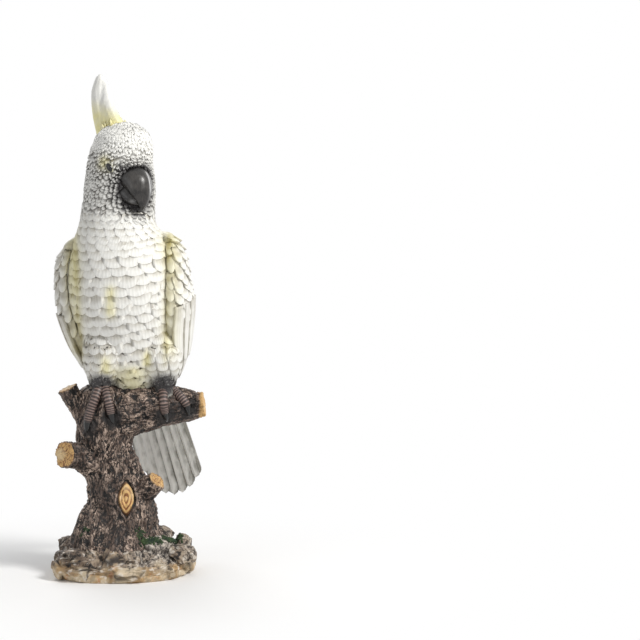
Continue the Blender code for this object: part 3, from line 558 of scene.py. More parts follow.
def math_node(tree, operation, a, b, x, y, clamp=False):
    made = node(tree, "ShaderNodeMath", x, y, operation=operation, use_clamp=clamp)
    for socket, value in zip(made.inputs, (a, b)):
        if value is None:
            continue
        if isinstance(value, (int, float)):
            socket.default_value = value
        else:
            tree.links.new(value, socket)
    return made.outputs[0]


def mix_colour(tree, share, a, b, x, y, blend="MIX"):
    made = node(tree, "ShaderNodeMix", x, y, data_type="RGBA", blend_type=blend, clamp_factor=True)
    for socket, value in ((made.inputs[0], share), (made.inputs[6], a), (made.inputs[7], b)):
        if isinstance(value, (int, float)):
            socket.default_value = value
        elif isinstance(value, tuple):
            socket.default_value = (*value[:3], 1)
        else:
            tree.links.new(value, socket)
    return made.outputs[2]


def ramp(tree, value, low, high, x, y, to_low=0.0, to_high=1.0):
    """A smooth step of a value between low and high."""
    made = node(tree, "ShaderNodeMapRange", x, y, interpolation_type="SMOOTHSTEP")
    tree.links.new(value, made.inputs["Value"])
    for label, number in (("From Min", low), ("From Max", high), ("To Min", to_low), ("To Max", to_high)):
        made.inputs[label].default_value = number
    return made.outputs["Result"]


def texture_noise(tree, size_mm, x, y, detail=3.0, stretch=(1, 1, 1)):
    place = node(tree, "ShaderNodeTexCoord", x - 400, y)
    mapping = node(tree, "ShaderNodeMapping", x - 200, y)
    mapping.inputs["Scale"].default_value = stretch
    tree.links.new(place.outputs["Object"], mapping.inputs["Vector"])
    made = node(tree, "ShaderNodeTexNoise", x, y)
    made.inputs["Scale"].default_value = 1 / (size_mm * MM)
    made.inputs["Detail"].default_value = detail
    tree.links.new(mapping.outputs[0], made.inputs["Vector"])
    return made.outputs["Fac"]


# %% The feather paint group
SULPHUR = (0.86, 0.80, 0.42)
# Sulphur where the wash and painted shade fall on it
SULPHUR_IN_WASH_AND_SHADE = (0.42, 0.36, 0.12)
# Near black for dark paint and painted shade
DARK_PAINT_AND_SHADE_BLACK = (0.035, 0.032, 0.033)


def feather_paint_group():
    tree, start, end = group_of(
        "Feather paint",
        [
            ("White", "NodeSocketColor", (0.84, 0.835, 0.80, 1)),
            ("Wash and shade", "NodeSocketColor", (0.36, 0.33, 0.265, 1)),
            ("Strength of wash and shade", "NodeSocketFloat", 0.8),
            ("Barbs", "NodeSocketFloat", 22.0),
            ("Slant", "NodeSocketFloat", 3.0),
            ("Barb depth", "NodeSocketFloat", 0.075),
        ],
        [("Color", "NodeSocketColor"), ("Roughness", "NodeSocketFloat"), ("Height", "NodeSocketFloat")],
    )
    tip = attribute(tree, "tip", -1200, -300)
    across = attribute(tree, "across", -1200, -480)
    yellow = attribute(tree, "yellow", -1200, -660)
    soot = attribute(tree, "soot", -1200, -840)
    grey = attribute(tree, "grey", -1200, -1020)
    blotch = texture_noise(tree, 9.0, -700, 300)
    speck = texture_noise(tree, 1.3, -700, 100, 2.0)
    # The wash and painted shade gather at the root of each feather, where the row above ends and shades it; the
    # sides and rim of each feather, and the grey mask, add painted shade too
    low = math_node(tree, "SUBTRACT", 1.0, ramp(tree, tip, 0.46, 0.84, -900, -300), -700, -300)
    beside = math_node(tree, "ABSOLUTE", across, None, -1050, -560)
    edge = math_node(tree, "POWER", beside, 6.0, -700, -480)
    rim = ramp(tree, tip, 0.975, 1.0, -700, -200)
    wash_and_shade = math_node(tree, "MAXIMUM", math_node(tree, "MAXIMUM", low, edge, -500, -300), rim, -400, -250)
    barb_phase = math_node(tree, "MULTIPLY", beside, start.outputs["Barbs"], -900, -560)
    along_feather = math_node(tree, "MULTIPLY", tip, start.outputs["Slant"], -900, -640)
    lean = math_node(tree, "SUBTRACT", barb_phase, along_feather, -700, -600)
    barb = math_node(tree, "SINE", lean, None, -500, -600)
    barb_paint = math_node(tree, "MULTIPLY", barb, start.outputs["Barb depth"], -300, -600)
    wash_and_shade = math_node(tree, "SUBTRACT", wash_and_shade, barb_paint, -200, -300)
    wash_and_shade = math_node(tree, "ADD", wash_and_shade, grey, -100, -360)
    wash_and_shade = math_node(tree, "MULTIPLY", wash_and_shade, ramp(tree, blotch, 0.25, 0.75, -500, 300, 0.55, 1.25), 0, -300)
    wash_and_shade = math_node(tree, "MULTIPLY", wash_and_shade, start.outputs["Strength of wash and shade"], 120, -300, True)
    colour = mix_colour(tree, wash_and_shade, start.outputs["White"], start.outputs["Wash and shade"], 300, 0)
    sulphur = math_node(tree, "MULTIPLY", yellow, ramp(tree, blotch, 0.2, 0.6, -500, 500, 0.7, 1.1), 200, 300, True)
    # Sulphur deepens to olive where the wash and painted shade fall
    tint = mix_colour(tree, wash_and_shade, SULPHUR, SULPHUR_IN_WASH_AND_SHADE, 300, 240)
    colour = mix_colour(tree, sulphur, colour, tint, 480, 60)
    # Dark paint over the feet, and painted shade between the tufts round the beak and under the brow
    sooty = math_node(tree, "MULTIPLY", soot, ramp(tree, speck, 0.25, 0.6, -500, 700, 0.8, 1.2), 300, 420, True)
    colour = mix_colour(tree, sooty, colour, DARK_PAINT_AND_SHADE_BLACK, 640, 60)
    tree.links.new(colour, end.inputs["Color"])
    rough = ramp(tree, speck, 0.2, 0.8, 300, -500, 0.50, 0.66)
    tree.links.new(rough, end.inputs["Roughness"])
    fine = math_node(tree, "MULTIPLY", speck, 0.5, 300, -640)
    height = math_node(tree, "ADD", fine, math_node(tree, "MULTIPLY", barb, 0.5, 300, -760), 480, -640)
    tree.links.new(height, end.inputs["Height"])
    return tree


FEATHER_PAINT = feather_paint_group()


# %% Materials and ownership
def new_paint(name):
    """A material, its node tree and its shader."""
    material = bpy.data.materials.new(name)
    material.use_nodes = True
    return material, material.node_tree, material.node_tree.nodes["Principled BSDF"]


def add_relief(tree, shader, height, strength, depth_mm):
    """Fine relief that only bends the light, from a height between 0 and 1."""
    relief = node(tree, "ShaderNodeBump", -200, -300)
    relief.inputs["Strength"].default_value = strength
    relief.inputs["Distance"].default_value = depth_mm * MM
    tree.links.new(height, relief.inputs["Height"])
    tree.links.new(relief.outputs["Normal"], shader.inputs["Normal"])


def painted(name, group, values, bump=0.5, bump_mm=0.22):
    """A material whose colour, roughness and bump come from a group with its own values."""
    material, tree, shader = new_paint(name)
    layers = node(tree, "ShaderNodeGroup", -400, 0, node_tree=group)
    for label, value in values.items():
        layers.inputs[label].default_value = value
    tree.links.new(layers.outputs["Color"], shader.inputs["Base Color"])
    tree.links.new(layers.outputs["Roughness"], shader.inputs["Roughness"])
    add_relief(tree, shader, layers.outputs["Height"], bump, bump_mm)
    return material


def own(piece, body="root"):
    """Ties a finished piece to the figurine's one body and hides the imported solid."""
    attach(piece, body)
    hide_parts("cockatoo_figurine")
    print(piece.name, "is finished with", len(piece.data.polygons), "faces")
    return piece


plumage = painted("white_plumage", FEATHER_PAINT, {"Strength of wash and shade": 0.62})
head_wash_and_shade = {"Wash and shade": (0.17, 0.16, 0.145, 1), "Strength of wash and shade": 0.80, "Barbs": 9.0}
head_plumage = painted("head_plumage", FEATHER_PAINT, head_wash_and_shade)
wing_plumage = painted("wing_plumage", FEATHER_PAINT, {"Strength of wash and shade": 0.58, "Barbs": 26.0})

print("paints:", plumage.name, head_plumage.name, wing_plumage.name)

# %% Where the colours go
LEG_PLACES = (-15.0, 34.0)
WING_FOLDS = ((-1, -36.5), (1, 40.5))
BREAST_GROOVES = (
    # middle, width, where it fades in and out from low to high, strength
    (-7.5, 3.6, 203, 211, 226, 236, 0.75),
    (20.5, 3.2, 166, 170, 174, 184, 0.80),
    (-11.5, 4.0, 160, 164, 171, 180, 0.70),
)


def paint_plumage(piece):
    """Masks by place: yellow in the folds, dark paint and painted shade over the feet, and painted shade on the left
    side as seen, low on the belly and in the creases beside the wings.
    """
    p = points_of(piece)
    x, y, z = p.T
    front = smoothstep(5, -15, y)
    yellow = 0.62 * smoothstep(172, 163, z) * hump(x, 8, 14.0) * front
    for at, wide, low, low_full, high_full, high, depth in BREAST_GROOVES:
        yellow = yellow + depth * hump(x, at, wide) * band(z, low, low_full, high_full, high) * front
    folds = 0.0
    beside = smoothstep(25, 5, y)
    for side, at in WING_FOLDS:
        leaning = at + 0.04 * (z - 230) * side
        fold = hump(x, leaning, 6.0) * band(z, 165, 185, 262, 285) * beside
        crease = hump(x, leaning - 3.5 * side, 2.2) * band(z, 160, 180, 262, 285) * beside
        yellow = yellow + 0.42 * fold + 0.25 * crease
        # Painted shade in the crease between wing and breast
        folds = folds + 0.55 * crease
    shoulder = hump(x, 36, 9.0) * hump(z, 262, 16.0) + 0.8 * hump(x, -37, 7.0) * hump(z, 245, 22.0)
    yellow = yellow + 0.30 * shoulder * front
    feet = np.zeros(len(p))
    for leg in LEG_PLACES:
        near = np.hypot((x - leg) / 12.0, (z - SEAT) / 10.5)
        feet = np.maximum(feet, smoothstep(1.35, 0.45, near))
    # Painted shade: greyer on the left side as seen, away from the key lamp, low on the belly, and in the wing
    # creases
    shade = 0.25 * smoothstep(-2, -26, x) * band(z, 262, 285, 352, 372)
    shade = shade + 0.34 * smoothstep(-6, -40, x) * smoothstep(290, 240, z) + 0.22 * smoothstep(225, 170, z) + folds
    put_mask(piece, "yellow", np.clip(yellow, 0, 1))
    # Dark paint and painted shade at the foot of the thighs, where the toes begin
    put_mask(piece, "soot", np.clip(feet * smoothstep(14, -2, y + 8), 0, 1))
    put_mask(piece, "grey", shade)


# %% [markdown]
# ## Body skin
#
# Under the feathers lies a plain skin, so no gap opens between two of them, as the casting has none. It
# is lofted through the same ovals and sits a little low, which is simpler than joining the feathers.

# %% Body skin
around = np.linspace(0, 2 * np.pi, 96, endpoint=False)
skin_rows = np.linspace(1.5, BODY_LENGTH, 150)
rings, _, _ = on_body(skin_rows[:, None], around[None, :], -0.4)
body_skin = lofted("body_skin", rings)
flat_masks(body_skin, tip=0.72, across=0.0)
paint_plumage(body_skin)
body_skin.data.materials.append(plumage)
own(body_skin)

# %% [markdown]
# ## Breast, back and neck feathers
#
# The rows start under the cheeks with small feathers and grow to broad round ones on the breast. In
# every row the count follows the body's girth, so a feather keeps its width. Where the wings cover
# the body there are none. Scattering by chance would leave bald places, so only a small shift is random.

# %% The wings' outline, which the feathers leave free
WING = np.array([
    # share of the length, leading angle, trailing angle, lift share
    (0.00, 88.0, 112.0, 0.05),
    (0.07, 77.0, 128.0, 0.80),
    (0.18, 68.0, 146.0, 1.00),
    (0.40, 61.0, 160.0, 1.00),
    (0.60, 59.0, 163.0, 0.94),
    (0.78, 63.0, 160.0, 0.86),
    (0.90, 72.0, 150.0, 0.66),
    (1.00, 84.0, 138.0, 0.45),
])
WING_TOP = distance_at_height(0.580 * CROWN)
WING_TIP = distance_at_height(0.026 * CROWN)
WING_LENGTH = WING_TIP - WING_TOP


def wing_row(share):
    """Leading angle, trailing angle and lift at shares of a wing's length."""
    share = np.clip(share, 0, 1)
    index = np.clip(np.searchsorted(WING[:, 0], share) - 1, 0, len(WING) - 2)
    low, high = WING[index], WING[index + 1]
    t = smoothstep(low[..., 0], high[..., 0], share)[..., None]
    return (low + (high - low) * t)[..., 1:]


def wing_cover(distance, angle):
    """True where the wing hides the skin."""
    share = (distance - WING_TOP) / WING_LENGTH
    row = wing_row(share)
    turned = np.abs((np.degrees(angle) + 180) % 360 - 180)
    inside = (turned > row[..., 0] + 5) & (turned < row[..., 1] - 4)
    return inside & (share > 0.02) & (share < 1.02)


def girth(distance):
    loop, _, _ = on_body(np.full(60, distance), np.linspace(0, 2 * np.pi, 60))
    return np.linalg.norm(np.diff(loop, axis=0), axis=1).sum()


def even_angles(distance, count, shift):
    """Angles that divide the girth into equal lengths."""
    fine = np.linspace(0, 2 * np.pi, 241)
    loop, _, _ = on_body(np.full(241, distance), fine)
    walked = np.concatenate([[0], np.cumsum(np.linalg.norm(np.diff(loop, axis=0), axis=1))])
    return np.interp(((np.arange(count) + shift) % count) / count * walked[-1], walked, fine)


# %% Rows of breast feathers
chance = np.random.default_rng(11)
HEAD_END = distance_at_height(130.0)
places, widths, lengths = [], [], []
distance = HEAD_END
row = 0
while distance < BODY_LENGTH - 14:
    breast = float(smoothstep(HEAD_END + 2, HEAD_END + 44, distance))
    width, pitch = 7.4 + 4.8 * breast, 5.4 + 2.2 * breast
    count = int(round(girth(distance) / width))
    shift = 0.5 * (row % 2) + chance.uniform(-0.12, 0.12)
    for angle in even_angles(distance, count, shift):
        d = distance + chance.normal(0, 0.4 + 0.4 * breast)
        if wing_cover(np.array(d), np.array(angle)):
            continue
        places.append((d, angle))
        widths.append(width)
        lengths.append(pitch * 2.1)
    distance += pitch
    row += 1
places = np.array(places)
print("rows of body feathers:", row)
spots, out, down = on_body(places[:, 0], places[:, 1], 0.15)
size = np.stack([
    np.array(widths) * chance.uniform(1.42, 1.62, len(widths)),
    np.array(lengths) * chance.uniform(0.95, 1.1, len(widths)),
    1.0 + 0.35 * smoothstep(HEAD_END - 9, HEAD_END + 36, places[:, 0]),
], -1)
body_feathers = lay("body_feathers", breast_shell, spots, out, down, size, plumage, 2.6, 3)
paint_plumage(body_feathers)
own(body_feathers)

# %% [markdown]
# ## Wings
#
# A folded wing is a long shield on the bird's side. Its front edge stands off the breast as a thick
# roll. The shield is one skin, the coverts are laid on it like roof tiles, and the long flight
# feathers below them are blades that follow the shield down to the tail.

# %% Wing shields
SIDES = ((-1, "right"), (1, "left"))
WING_LIFT = 10.0


def wing_place(side, share, q, rise=0.0):
    """Points, normals and down directions on a wing: share runs down it and q from the front edge back."""
    share, q = np.broadcast_arrays(np.asarray(share, float), np.asarray(q, float))
    row = wing_row(share)
    angle = np.radians(row[..., 0] + (row[..., 1] - row[..., 0]) * q)
    rounding = np.sqrt(np.maximum(0, 1 - (1 - np.minimum(1, q / 0.14)) ** 2))
    thick = row[..., 2] * WING_LIFT * (0.55 + 0.45 * rounding) * (1 - 0.62 * smoothstep(0.35, 1.0, q))
    return on_body(WING_TOP + WING_LENGTH * share, side * angle, thick + rise)


def on_wing(side, share, q, rise=0.0):
    """The same place with the wing's own normal, which turns inwards over its thick front edge."""
    point, normal, down = wing_place(side, share, q)
    behind, before = np.asarray(q) + 0.02, np.maximum(np.asarray(q) - 0.02, 0.0)
    q_step = wing_place(side, share, behind)[0] - wing_place(side, share, before)[0]
    own_normal = unit(np.cross(down, q_step))
    own_normal = own_normal * np.sign((own_normal * normal).sum(-1, keepdims=True))
    return point + own_normal * rise, own_normal, down


def wing_shield(side, name):
    shares = np.linspace(0.0, 1.0, 110)
    q = np.linspace(0, 1, 44)
    rings = []
    for share in shares:
        outer, _, _ = wing_place(side, share, q, -0.5)
        inner, normal, _ = wing_place(side, share, np.array([1.0, 0.66, 0.33, 0.0]))
        lift = wing_row(np.array(share))[2] * WING_LIFT + 4.0
        rings.append(np.vstack([outer, inner - normal * lift]))
    return lofted(name, rings)


for side, label in SIDES:
    wing = wing_shield(side, f"wing_{label}")
    flat_masks(wing, tip=0.62, across=0.0)
    paint_plumage(wing)
    wing.data.materials.append(wing_plumage)
    own(wing)

# %% [markdown]
# ## Wing coverts
#
# The shoulder of a folded wing is tiled with short round feathers. Carving them into the shield would
# need a very fine mesh, so they are laid by the tree in twelve rows, each half a feather out of step
# with the last. The roots of the first rows dip into the shield, so no open end shows.

# %% Wing coverts
COVERTS_START, COVERTS_END = 0.105, 0.53
for side, label in SIDES:
    spots, outs, downs, sizes = [], [], [], []
    for number, share in enumerate(np.linspace(COVERTS_START, COVERTS_END, 12)):
        lead, trail, _ = wing_row(np.array(share))
        angles = np.radians(np.linspace(lead, trail, 30))
        section = on_body(np.full(30, WING_TOP + WING_LENGTH * share), angles)[0]
        span = np.linalg.norm(np.diff(section, axis=0), axis=1).sum()
        width = 7.0 + 5.0 * share / COVERTS_END
        count = max(3, int(round(span / width)))
        for i in range(count + number % 2):
            q = min((i + 0.5 * ((number + 1) % 2)) / count, 0.94)
            point, normal, along_skin = on_wing(side, share + chance.normal(0, 0.004), np.array(q), 0.3)
            along_skin = unit(along_skin + normal * (0.16 + 0.5 * smoothstep(0.22, 0.07, share)))
            spots.append(point)
            outs.append(unit(normal - along_skin * normal.dot(along_skin)))
            downs.append(along_skin)
            narrowed = 0.62 + 0.38 * smoothstep(0.02, 0.14, q)
            sizes.append((width * chance.uniform(1.1, 1.3) * narrowed, 12.5 + 7.0 * share, 1.3))
    coverts = lay(f"wing_coverts_{label}", covert_shell, spots, outs, downs, sizes, wing_plumage, 4.0, 5 + side)
    paint_plumage(coverts)
    own(coverts)

# %% [markdown]
# ## Flight feathers
#
# Below the coverts lie long straight feathers in two tiers. The laying tree could stretch a shell to
# their length, but it would stay flat, while these bend round the wing. So each is a strip that follows
# its own line over the shield, with a quill down the middle, and is closed underneath.

# %% Long feathers as blades
def blade(path, normals, width, thickness, shaft, tilt, columns=9, round_tip=0.09):
    """Points of a long feather along a path: a domed strip with a raised shaft and a round tip."""
    path, normals = np.asarray(path), unit(np.asarray(normals))
    rows = len(path)
    along_path = unit(np.gradient(path, axis=0))
    side = unit(np.cross(along_path, normals))
    share = np.linspace(0, 1, rows)
    narrow = np.sqrt(np.clip(1 - np.clip((share - 1 + round_tip) / round_tip, 0, 1) ** 2, 0, 1))
    half = 0.5 * width * np.maximum(narrow, 0.12) * (0.80 + 0.20 * smoothstep(0, 0.4, share))
    across = np.linspace(-1, 1, columns)
    top, masks = [], []
    for r in range(rows):
        quill = shaft * (1 - smoothstep(0.0, 0.22, np.abs(across))) * narrow[r]
        rise = thickness * (1 - 0.75 * across**2) + quill + tilt * across
        top.append(path[r] + np.outer(across * half[r], side[r]) + np.outer(rise, normals[r]))
        masks += [(0.55 + 0.42 * share[r], c) for c in across]
    return np.array(top), masks


def blades_piece(name, blades, paint):
    """Joins blades into one piece. Each is closed: a top, a flatter underside and two small ends."""
    points, faces, tips, sides = [], [], [], []
    for path, normals, width, thickness, shaft, tilt in blades:
        top, masks = blade(path, normals, width, thickness, shaft, tilt)
        rows, columns = top.shape[:2]
        under = np.array([
            row_points - np.outer(np.full(columns, 1.6 * thickness + 0.4), normal)
            for row_points, normal in zip(top, unit(np.asarray(normals)))
        ])
        middle = top.mean(1, keepdims=True)
        under = middle + (under - middle) * 0.94
        first = len(points)
        loops = np.concatenate([top, under[:, ::-1]], axis=1)
        count = loops.shape[1]
        points += loops.reshape(-1, 3).tolist()
        for face in grid_faces(rows, count):
            faces.append(tuple(first + i for i in face))
        faces.append(tuple(first + i for i in range(count))[::-1])
        faces.append(tuple(first + (rows - 1) * count + i for i in range(count)))
        for r in range(rows):
            line = masks[r * columns:(r + 1) * columns]
            # The underside takes a lower tip, so it gets more wash and painted shade
            tips += [t for t, _ in line] + [t - 0.25 for t, _ in line[::-1]]
            sides += [c for _, c in line] + [c for _, c in line[::-1]]
    piece = outward(make_object(name, points, faces))
    put_mask(piece, "tip", tips)
    put_mask(piece, "across", sides)
    piece.data.materials.append(paint)
    print(name, "has", len(blades), "blades")
    return piece


# %% Flight feathers
FLIGHT_TIERS = (
    # start and end as shares of the wing's length, slant, number, width, height over the shield
    (0.66, 0.945, 0.13, 7, 11.5, 0.0),
    (0.44, 0.770, 0.075, 9, 10.5, 1.1),
)
flight_plumage = painted("flight_plumage", FEATHER_PAINT, {"Strength of wash and shade": 0.60, "Barbs": 14.0})
for side, label in SIDES:
    blades = []
    for start, end, slant, count, width, lift in FLIGHT_TIERS:
        for i in range(count):
            q = 0.05 + 0.92 * i / (count - 1)
            share = np.linspace(start, min(end + slant * q + chance.normal(0, 0.006), 1.06), 22)
            path, normals, _ = on_wing(side, share, np.full(22, q), 0.2 + lift)
            blades.append((path, normals, width, 1.5, 0.5, 0.55 * side))
    flight = blades_piece(f"flight_feathers_{label}", blades, flight_plumage)
    paint_plumage(flight)
    own(flight)

# %% [markdown]
# ## Tail
#
# Seven broad feathers hang behind the stump as a closed fan. Each is a pair of blades, back to back,
# because the tail is seen from both sides, with a pale raised shaft. It lies over its neighbour, and the
# outer ones are shorter. One flat fan would be quicker, but its edge would lack the round tips.

# %% Tail feathers
TAIL_LEAN = unit(np.array([0.236, 0.360, -0.900]))
TAIL_ROOT = spline(BODY, np.array(0.955 * (len(BODY) - 1)))
TAIL_ROOT = np.array([TAIL_ROOT[1] + 1.3, TAIL_ROOT[2], SEAT + TAIL_ROOT[0] * CROWN])
tail_across = np.array([0.930, -0.360, 0.0])
tail_across = unit(tail_across - TAIL_LEAN * tail_across.dot(TAIL_LEAN))
tail_face = np.cross(tail_across, TAIL_LEAN)
if tail_face[1] > 0:
    tail_face = -tail_face
TAIL_REACH, TAIL_BLADE, TAIL_SPREAD = 94.0, 12.2, 16.9
blades = []
for i in range(7):
    offset = (i - 3) / 3
    turn = math.radians(2.4 * offset)
    direction = TAIL_LEAN * math.cos(turn) + tail_across * math.sin(turn)
    reach = TAIL_REACH * (1 - 0.15 * offset * offset) * (1 - 0.10 * (i < 2))
    share = np.linspace(-0.05, 1.0, 40)[:, None]
    path = TAIL_ROOT + tail_across * offset * TAIL_SPREAD * (1 + 0.08 * share) + direction * reach * share
    path = path - tail_face * (2.4 * offset * offset) + tail_face * (0.55 * (3 - i) * 0.5)
    blades.append((path, np.tile(tail_face, (40, 1)), TAIL_BLADE, 1.0, 0.9, -0.85))
    blades.append((path - tail_face * 2.4, np.tile(-tail_face, (40, 1)), TAIL_BLADE, 1.0, 0.9, 0.85))
tail_values = {"White": (0.93, 0.92, 0.87, 1), "Wash and shade": (0.19, 0.18, 0.155, 1), "Strength of wash and shade": 0.80}
tail_values.update({"Barbs": 9.0, "Slant": 0.0, "Barb depth": 0.05})
tail_plumage = painted("tail_plumage", FEATHER_PAINT, tail_values, 0.5, 0.3)
tail = blades_piece("tail_feathers", blades, tail_plumage)
flat_masks(tail, yellow=0.0, soot=0.0, tip=0.9)
p = points_of(tail)
vane = np.abs(number_mask(tail, "across"))
flow = grain(np.stack([p[:, 0] * 1.2, p[:, 2] * 0.22, p[:, 1]], -1), 3.0, 4.0)
barbs = np.sin((p[:, 2] + 9.0 * vane + 3.0 * flow) * 2.1)
pale_shaft, grey_edge = smoothstep(0.26, 0.08, vane), smoothstep(0.62, 1.0, vane)
put_mask(tail, "grey", 0.30 + 0.45 * flow + 0.06 * barbs - 0.8 * pale_shaft + 0.5 * grey_edge)
own(tail)

# %% [markdown]
# ## Head
#
# The head is covered with small tufts that lie down and back from the beak. Round the beak they are longer and stand
# out, with painted shade, near black, between them. Bump in a material would do from afar, but the cheeks are rough
# enough to see in outline, so every tuft is laid as a shell.

# %% Directions of the head
HEAD_TURN = math.radians(35.0)
HEAD_FORWARD = np.array([math.sin(HEAD_TURN), -math.cos(HEAD_TURN), 0.0])
HEAD_BESIDE = np.array([math.cos(HEAD_TURN), math.sin(HEAD_TURN), 0.0])
HEAD_CENTRE = np.array([-0.6, -5.4, SEAT + 0.842 * CROWN])
UP = np.array([0.0, 0.0, 1.0])


def in_head(ahead, aside, above):
    """Points measured in millimetres from the middle of the head."""
    shares = np.broadcast_arrays(*(np.asarray(v, float) for v in (ahead, aside, above)))
    ways = (HEAD_FORWARD, HEAD_BESIDE, UP)
    return HEAD_CENTRE + sum(share[..., None] * way for share, way in zip(shares, ways))


BEAK_CENTRE = in_head(24.0, 0.0, -16.0)


def from_beak(p):
    """Distance of points from the middle of the beak's root, as a share of its outline there."""
    q = p - BEAK_CENTRE
    aside = q @ HEAD_BESIDE
    above = q[:, 2]
    return np.sqrt((aside / 13.6) ** 2 + (above / np.where(above > 0, 14.0, 19.0)) ** 2), aside, above


# %% Rows of head tufts
places = []
distance = 4.0
row = 0
while distance < HEAD_END + 4:
    coarse_share = float(smoothstep(HEAD_END - 40, HEAD_END + 4, distance))
    pitch = 2.15 + 1.9 * coarse_share
    width = 2.6 + 2.6 * coarse_share
    count = max(5, int(round(girth(distance) / width)))
    for angle in even_angles(distance, count, 0.5 * (row % 2) + chance.uniform(-0.3, 0.3)):
        down_front = distance + chance.normal(0, 0.32 * pitch)
        places.append((down_front, angle + chance.normal(0, 0.012), width, pitch * 2.3))
    distance += pitch
    row += 1
places = np.array(places)
spots, out, down = on_body(places[:, 0], places[:, 1], 0.1)
near, _, above = from_beak(spots)
clear = (near > 1.0) | ((spots - HEAD_CENTRE) @ HEAD_FORWARD < 0)
places, spots, out, down, near, above = (v[clear] for v in (places, spots, out, down, near, above))
in_front = (spots - HEAD_CENTRE) @ HEAD_FORWARD > 0
away = spots - BEAK_CENTRE
away = unit(away - out * (away * out).sum(1, keepdims=True))
pull = (smoothstep(2.6, 1.1, near) * in_front * np.where(above > 6, -0.1, 0.9))[:, None]
down = unit(down * (1 - np.abs(pull)) + away * pull)
fringe = smoothstep(1.9, 1.05, near) * in_front
out = unit(out - 0.42 * fringe[:, None] * down)
shuffled = chance.uniform(0.75, 1.25, (len(places), 3))
thick = 0.22 + 0.90 * smoothstep(HEAD_END - 78, HEAD_END - 45, places[:, 0]) + 0.5 * fringe
size = np.stack([places[:, 2] * 1.25, places[:, 3] * (1 + 0.25 * fringe), thick], -1) * shuffled
head_tufts = lay("head_tufts", tuft_shell, spots, out, down, size, head_plumage, 8.5, 8)


# %% Paint on the head
def paint_head(piece):
    """The plumage masks; round the beak, painted shade, near black, between the white tufts; and less painted shade
    on the crown.
    """
    paint_plumage(piece)
    p = points_of(piece)
    tip = number_mask(piece, "tip")
    near, _, above = from_beak(p)
    in_front = smoothstep(2, 10, (p - HEAD_CENTRE) @ HEAD_FORWARD)
    # Painted shade, near black, low between the tufts round the beak
    ring = smoothstep(1.75, 1.02, near) * (1.5 - 1.25 * smoothstep(0.66, 1.0, tip))
    painted_gap_shade = np.clip((ring + smoothstep(1.22, 1.05, near)) * in_front, 0, 1)
    cheek = smoothstep(3.2, 1.4, near) * in_front * smoothstep(14, 4, above)
    crown = smoothstep(4, 20, (p - HEAD_CENTRE)[:, 2])
    lore = hump(np.linalg.norm(p - in_head(17.5, -19.0, -1.0), axis=1), 0.0, 7.0)
    eye_skin = hump(np.linalg.norm(p - in_head(11.0, -22.0, 1.0), axis=1), 0.0, 5.0)
    soot, grey, yellow = (number_mask(piece, name) for name in ("soot", "grey", "yellow"))
    put_mask(piece, "soot", np.clip(soot + painted_gap_shade, 0, 1))
    # The grey mask takes the wash and painted shade off the crown, and adds grey on the cheeks and round the lore
    put_mask(piece, "grey", grey - 0.92 * crown + 0.22 * cheek + 0.12 * lore)
    put_mask(piece, "yellow", np.clip(yellow + 0.75 * eye_skin + 0.30 * lore * (1 - tip), 0, 1))


for piece in (head_tufts, body_skin):
    paint_head(piece)
own(head_tufts)

# %% [markdown]
# ## Brow
#
# Over the beak hangs a fringe of stiff little feathers. They don't lie on the body's skin but jut out over the horn,
# so they are set in four tiers of their own, each higher and further back, and turned forwards and down. The roots
# and the low side of the fringe, which hangs in its own shadow, are painted black as shade, and the tips are white.

# %% Brow
BROW_WIDTH = 25.0
BROW_TIERS = (
    # height above the middle of the head, distance ahead of it, number of tufts, their length
    (0.2, 26.2, 12, 7.5),
    (2.4, 26.4, 12, 7.2),
    (4.8, 25.8, 11, 6.8),
    (7.4, 24.8, 10, 6.4),
)
brow_spots, brow_out, brow_down, brow_size = [], [], [], []
for tier, (rise, ahead, count, reach) in enumerate(BROW_TIERS):
    for i in range(count):
        aside = (i - (count - 1) / 2 + 0.35 * chance.normal()) * BROW_WIDTH / count
        drop = 0.020 * aside * aside
        place = in_head(ahead - 0.028 * aside * aside, aside, rise - drop + chance.normal(0, 0.35))
        forward = unit(HEAD_FORWARD * 0.95 + HEAD_BESIDE * aside * 0.022 - UP * (0.55 - 0.1 * tier))
        up_way = unit(UP + HEAD_FORWARD * 0.5)
        brow_spots.append(place + forward * 1.0)
        brow_out.append(unit(up_way - forward * up_way.dot(forward)))
        brow_down.append(forward)
        brow_size.append((3.5 * chance.uniform(0.8, 1.2), reach * chance.uniform(0.8, 1.15), 2.0))
brow = lay("brow", tuft_shell, brow_spots, brow_out, brow_down, brow_size, head_plumage, 12.0, 14)
paint_plumage(brow)
brow_tip = number_mask(brow, "tip")
brow_above = (points_of(brow) - HEAD_CENTRE)[:, 2]
# Painted shade: black at the roots of the tufts and on the low side of the fringe
brow_root_shade = 1.3 * (1 - smoothstep(0.5, 0.95, brow_tip)) * smoothstep(8.0, 1.0, brow_above)
put_mask(brow, "soot", np.clip(brow_root_shade + smoothstep(0.5, -3.0, brow_above), 0, 1))
own(brow)

# %% [markdown]
# ## Beak
#
# The beak has two halves of dark horn: a deep hook with a keel, and a short cup under it. A lathe shape can't bend,
# so each half is lofted through ovals that stand square to a curved line. The horn is nearly black, with painted
# shade at its root under the brow, dust in the hollows, and a painted highlight: one long streak beside the keel and
# a crescent on the lower half.

# %% Beak shapes
BEAK_LENGTH = 37.0
BEAK_WIDTH = 53.7


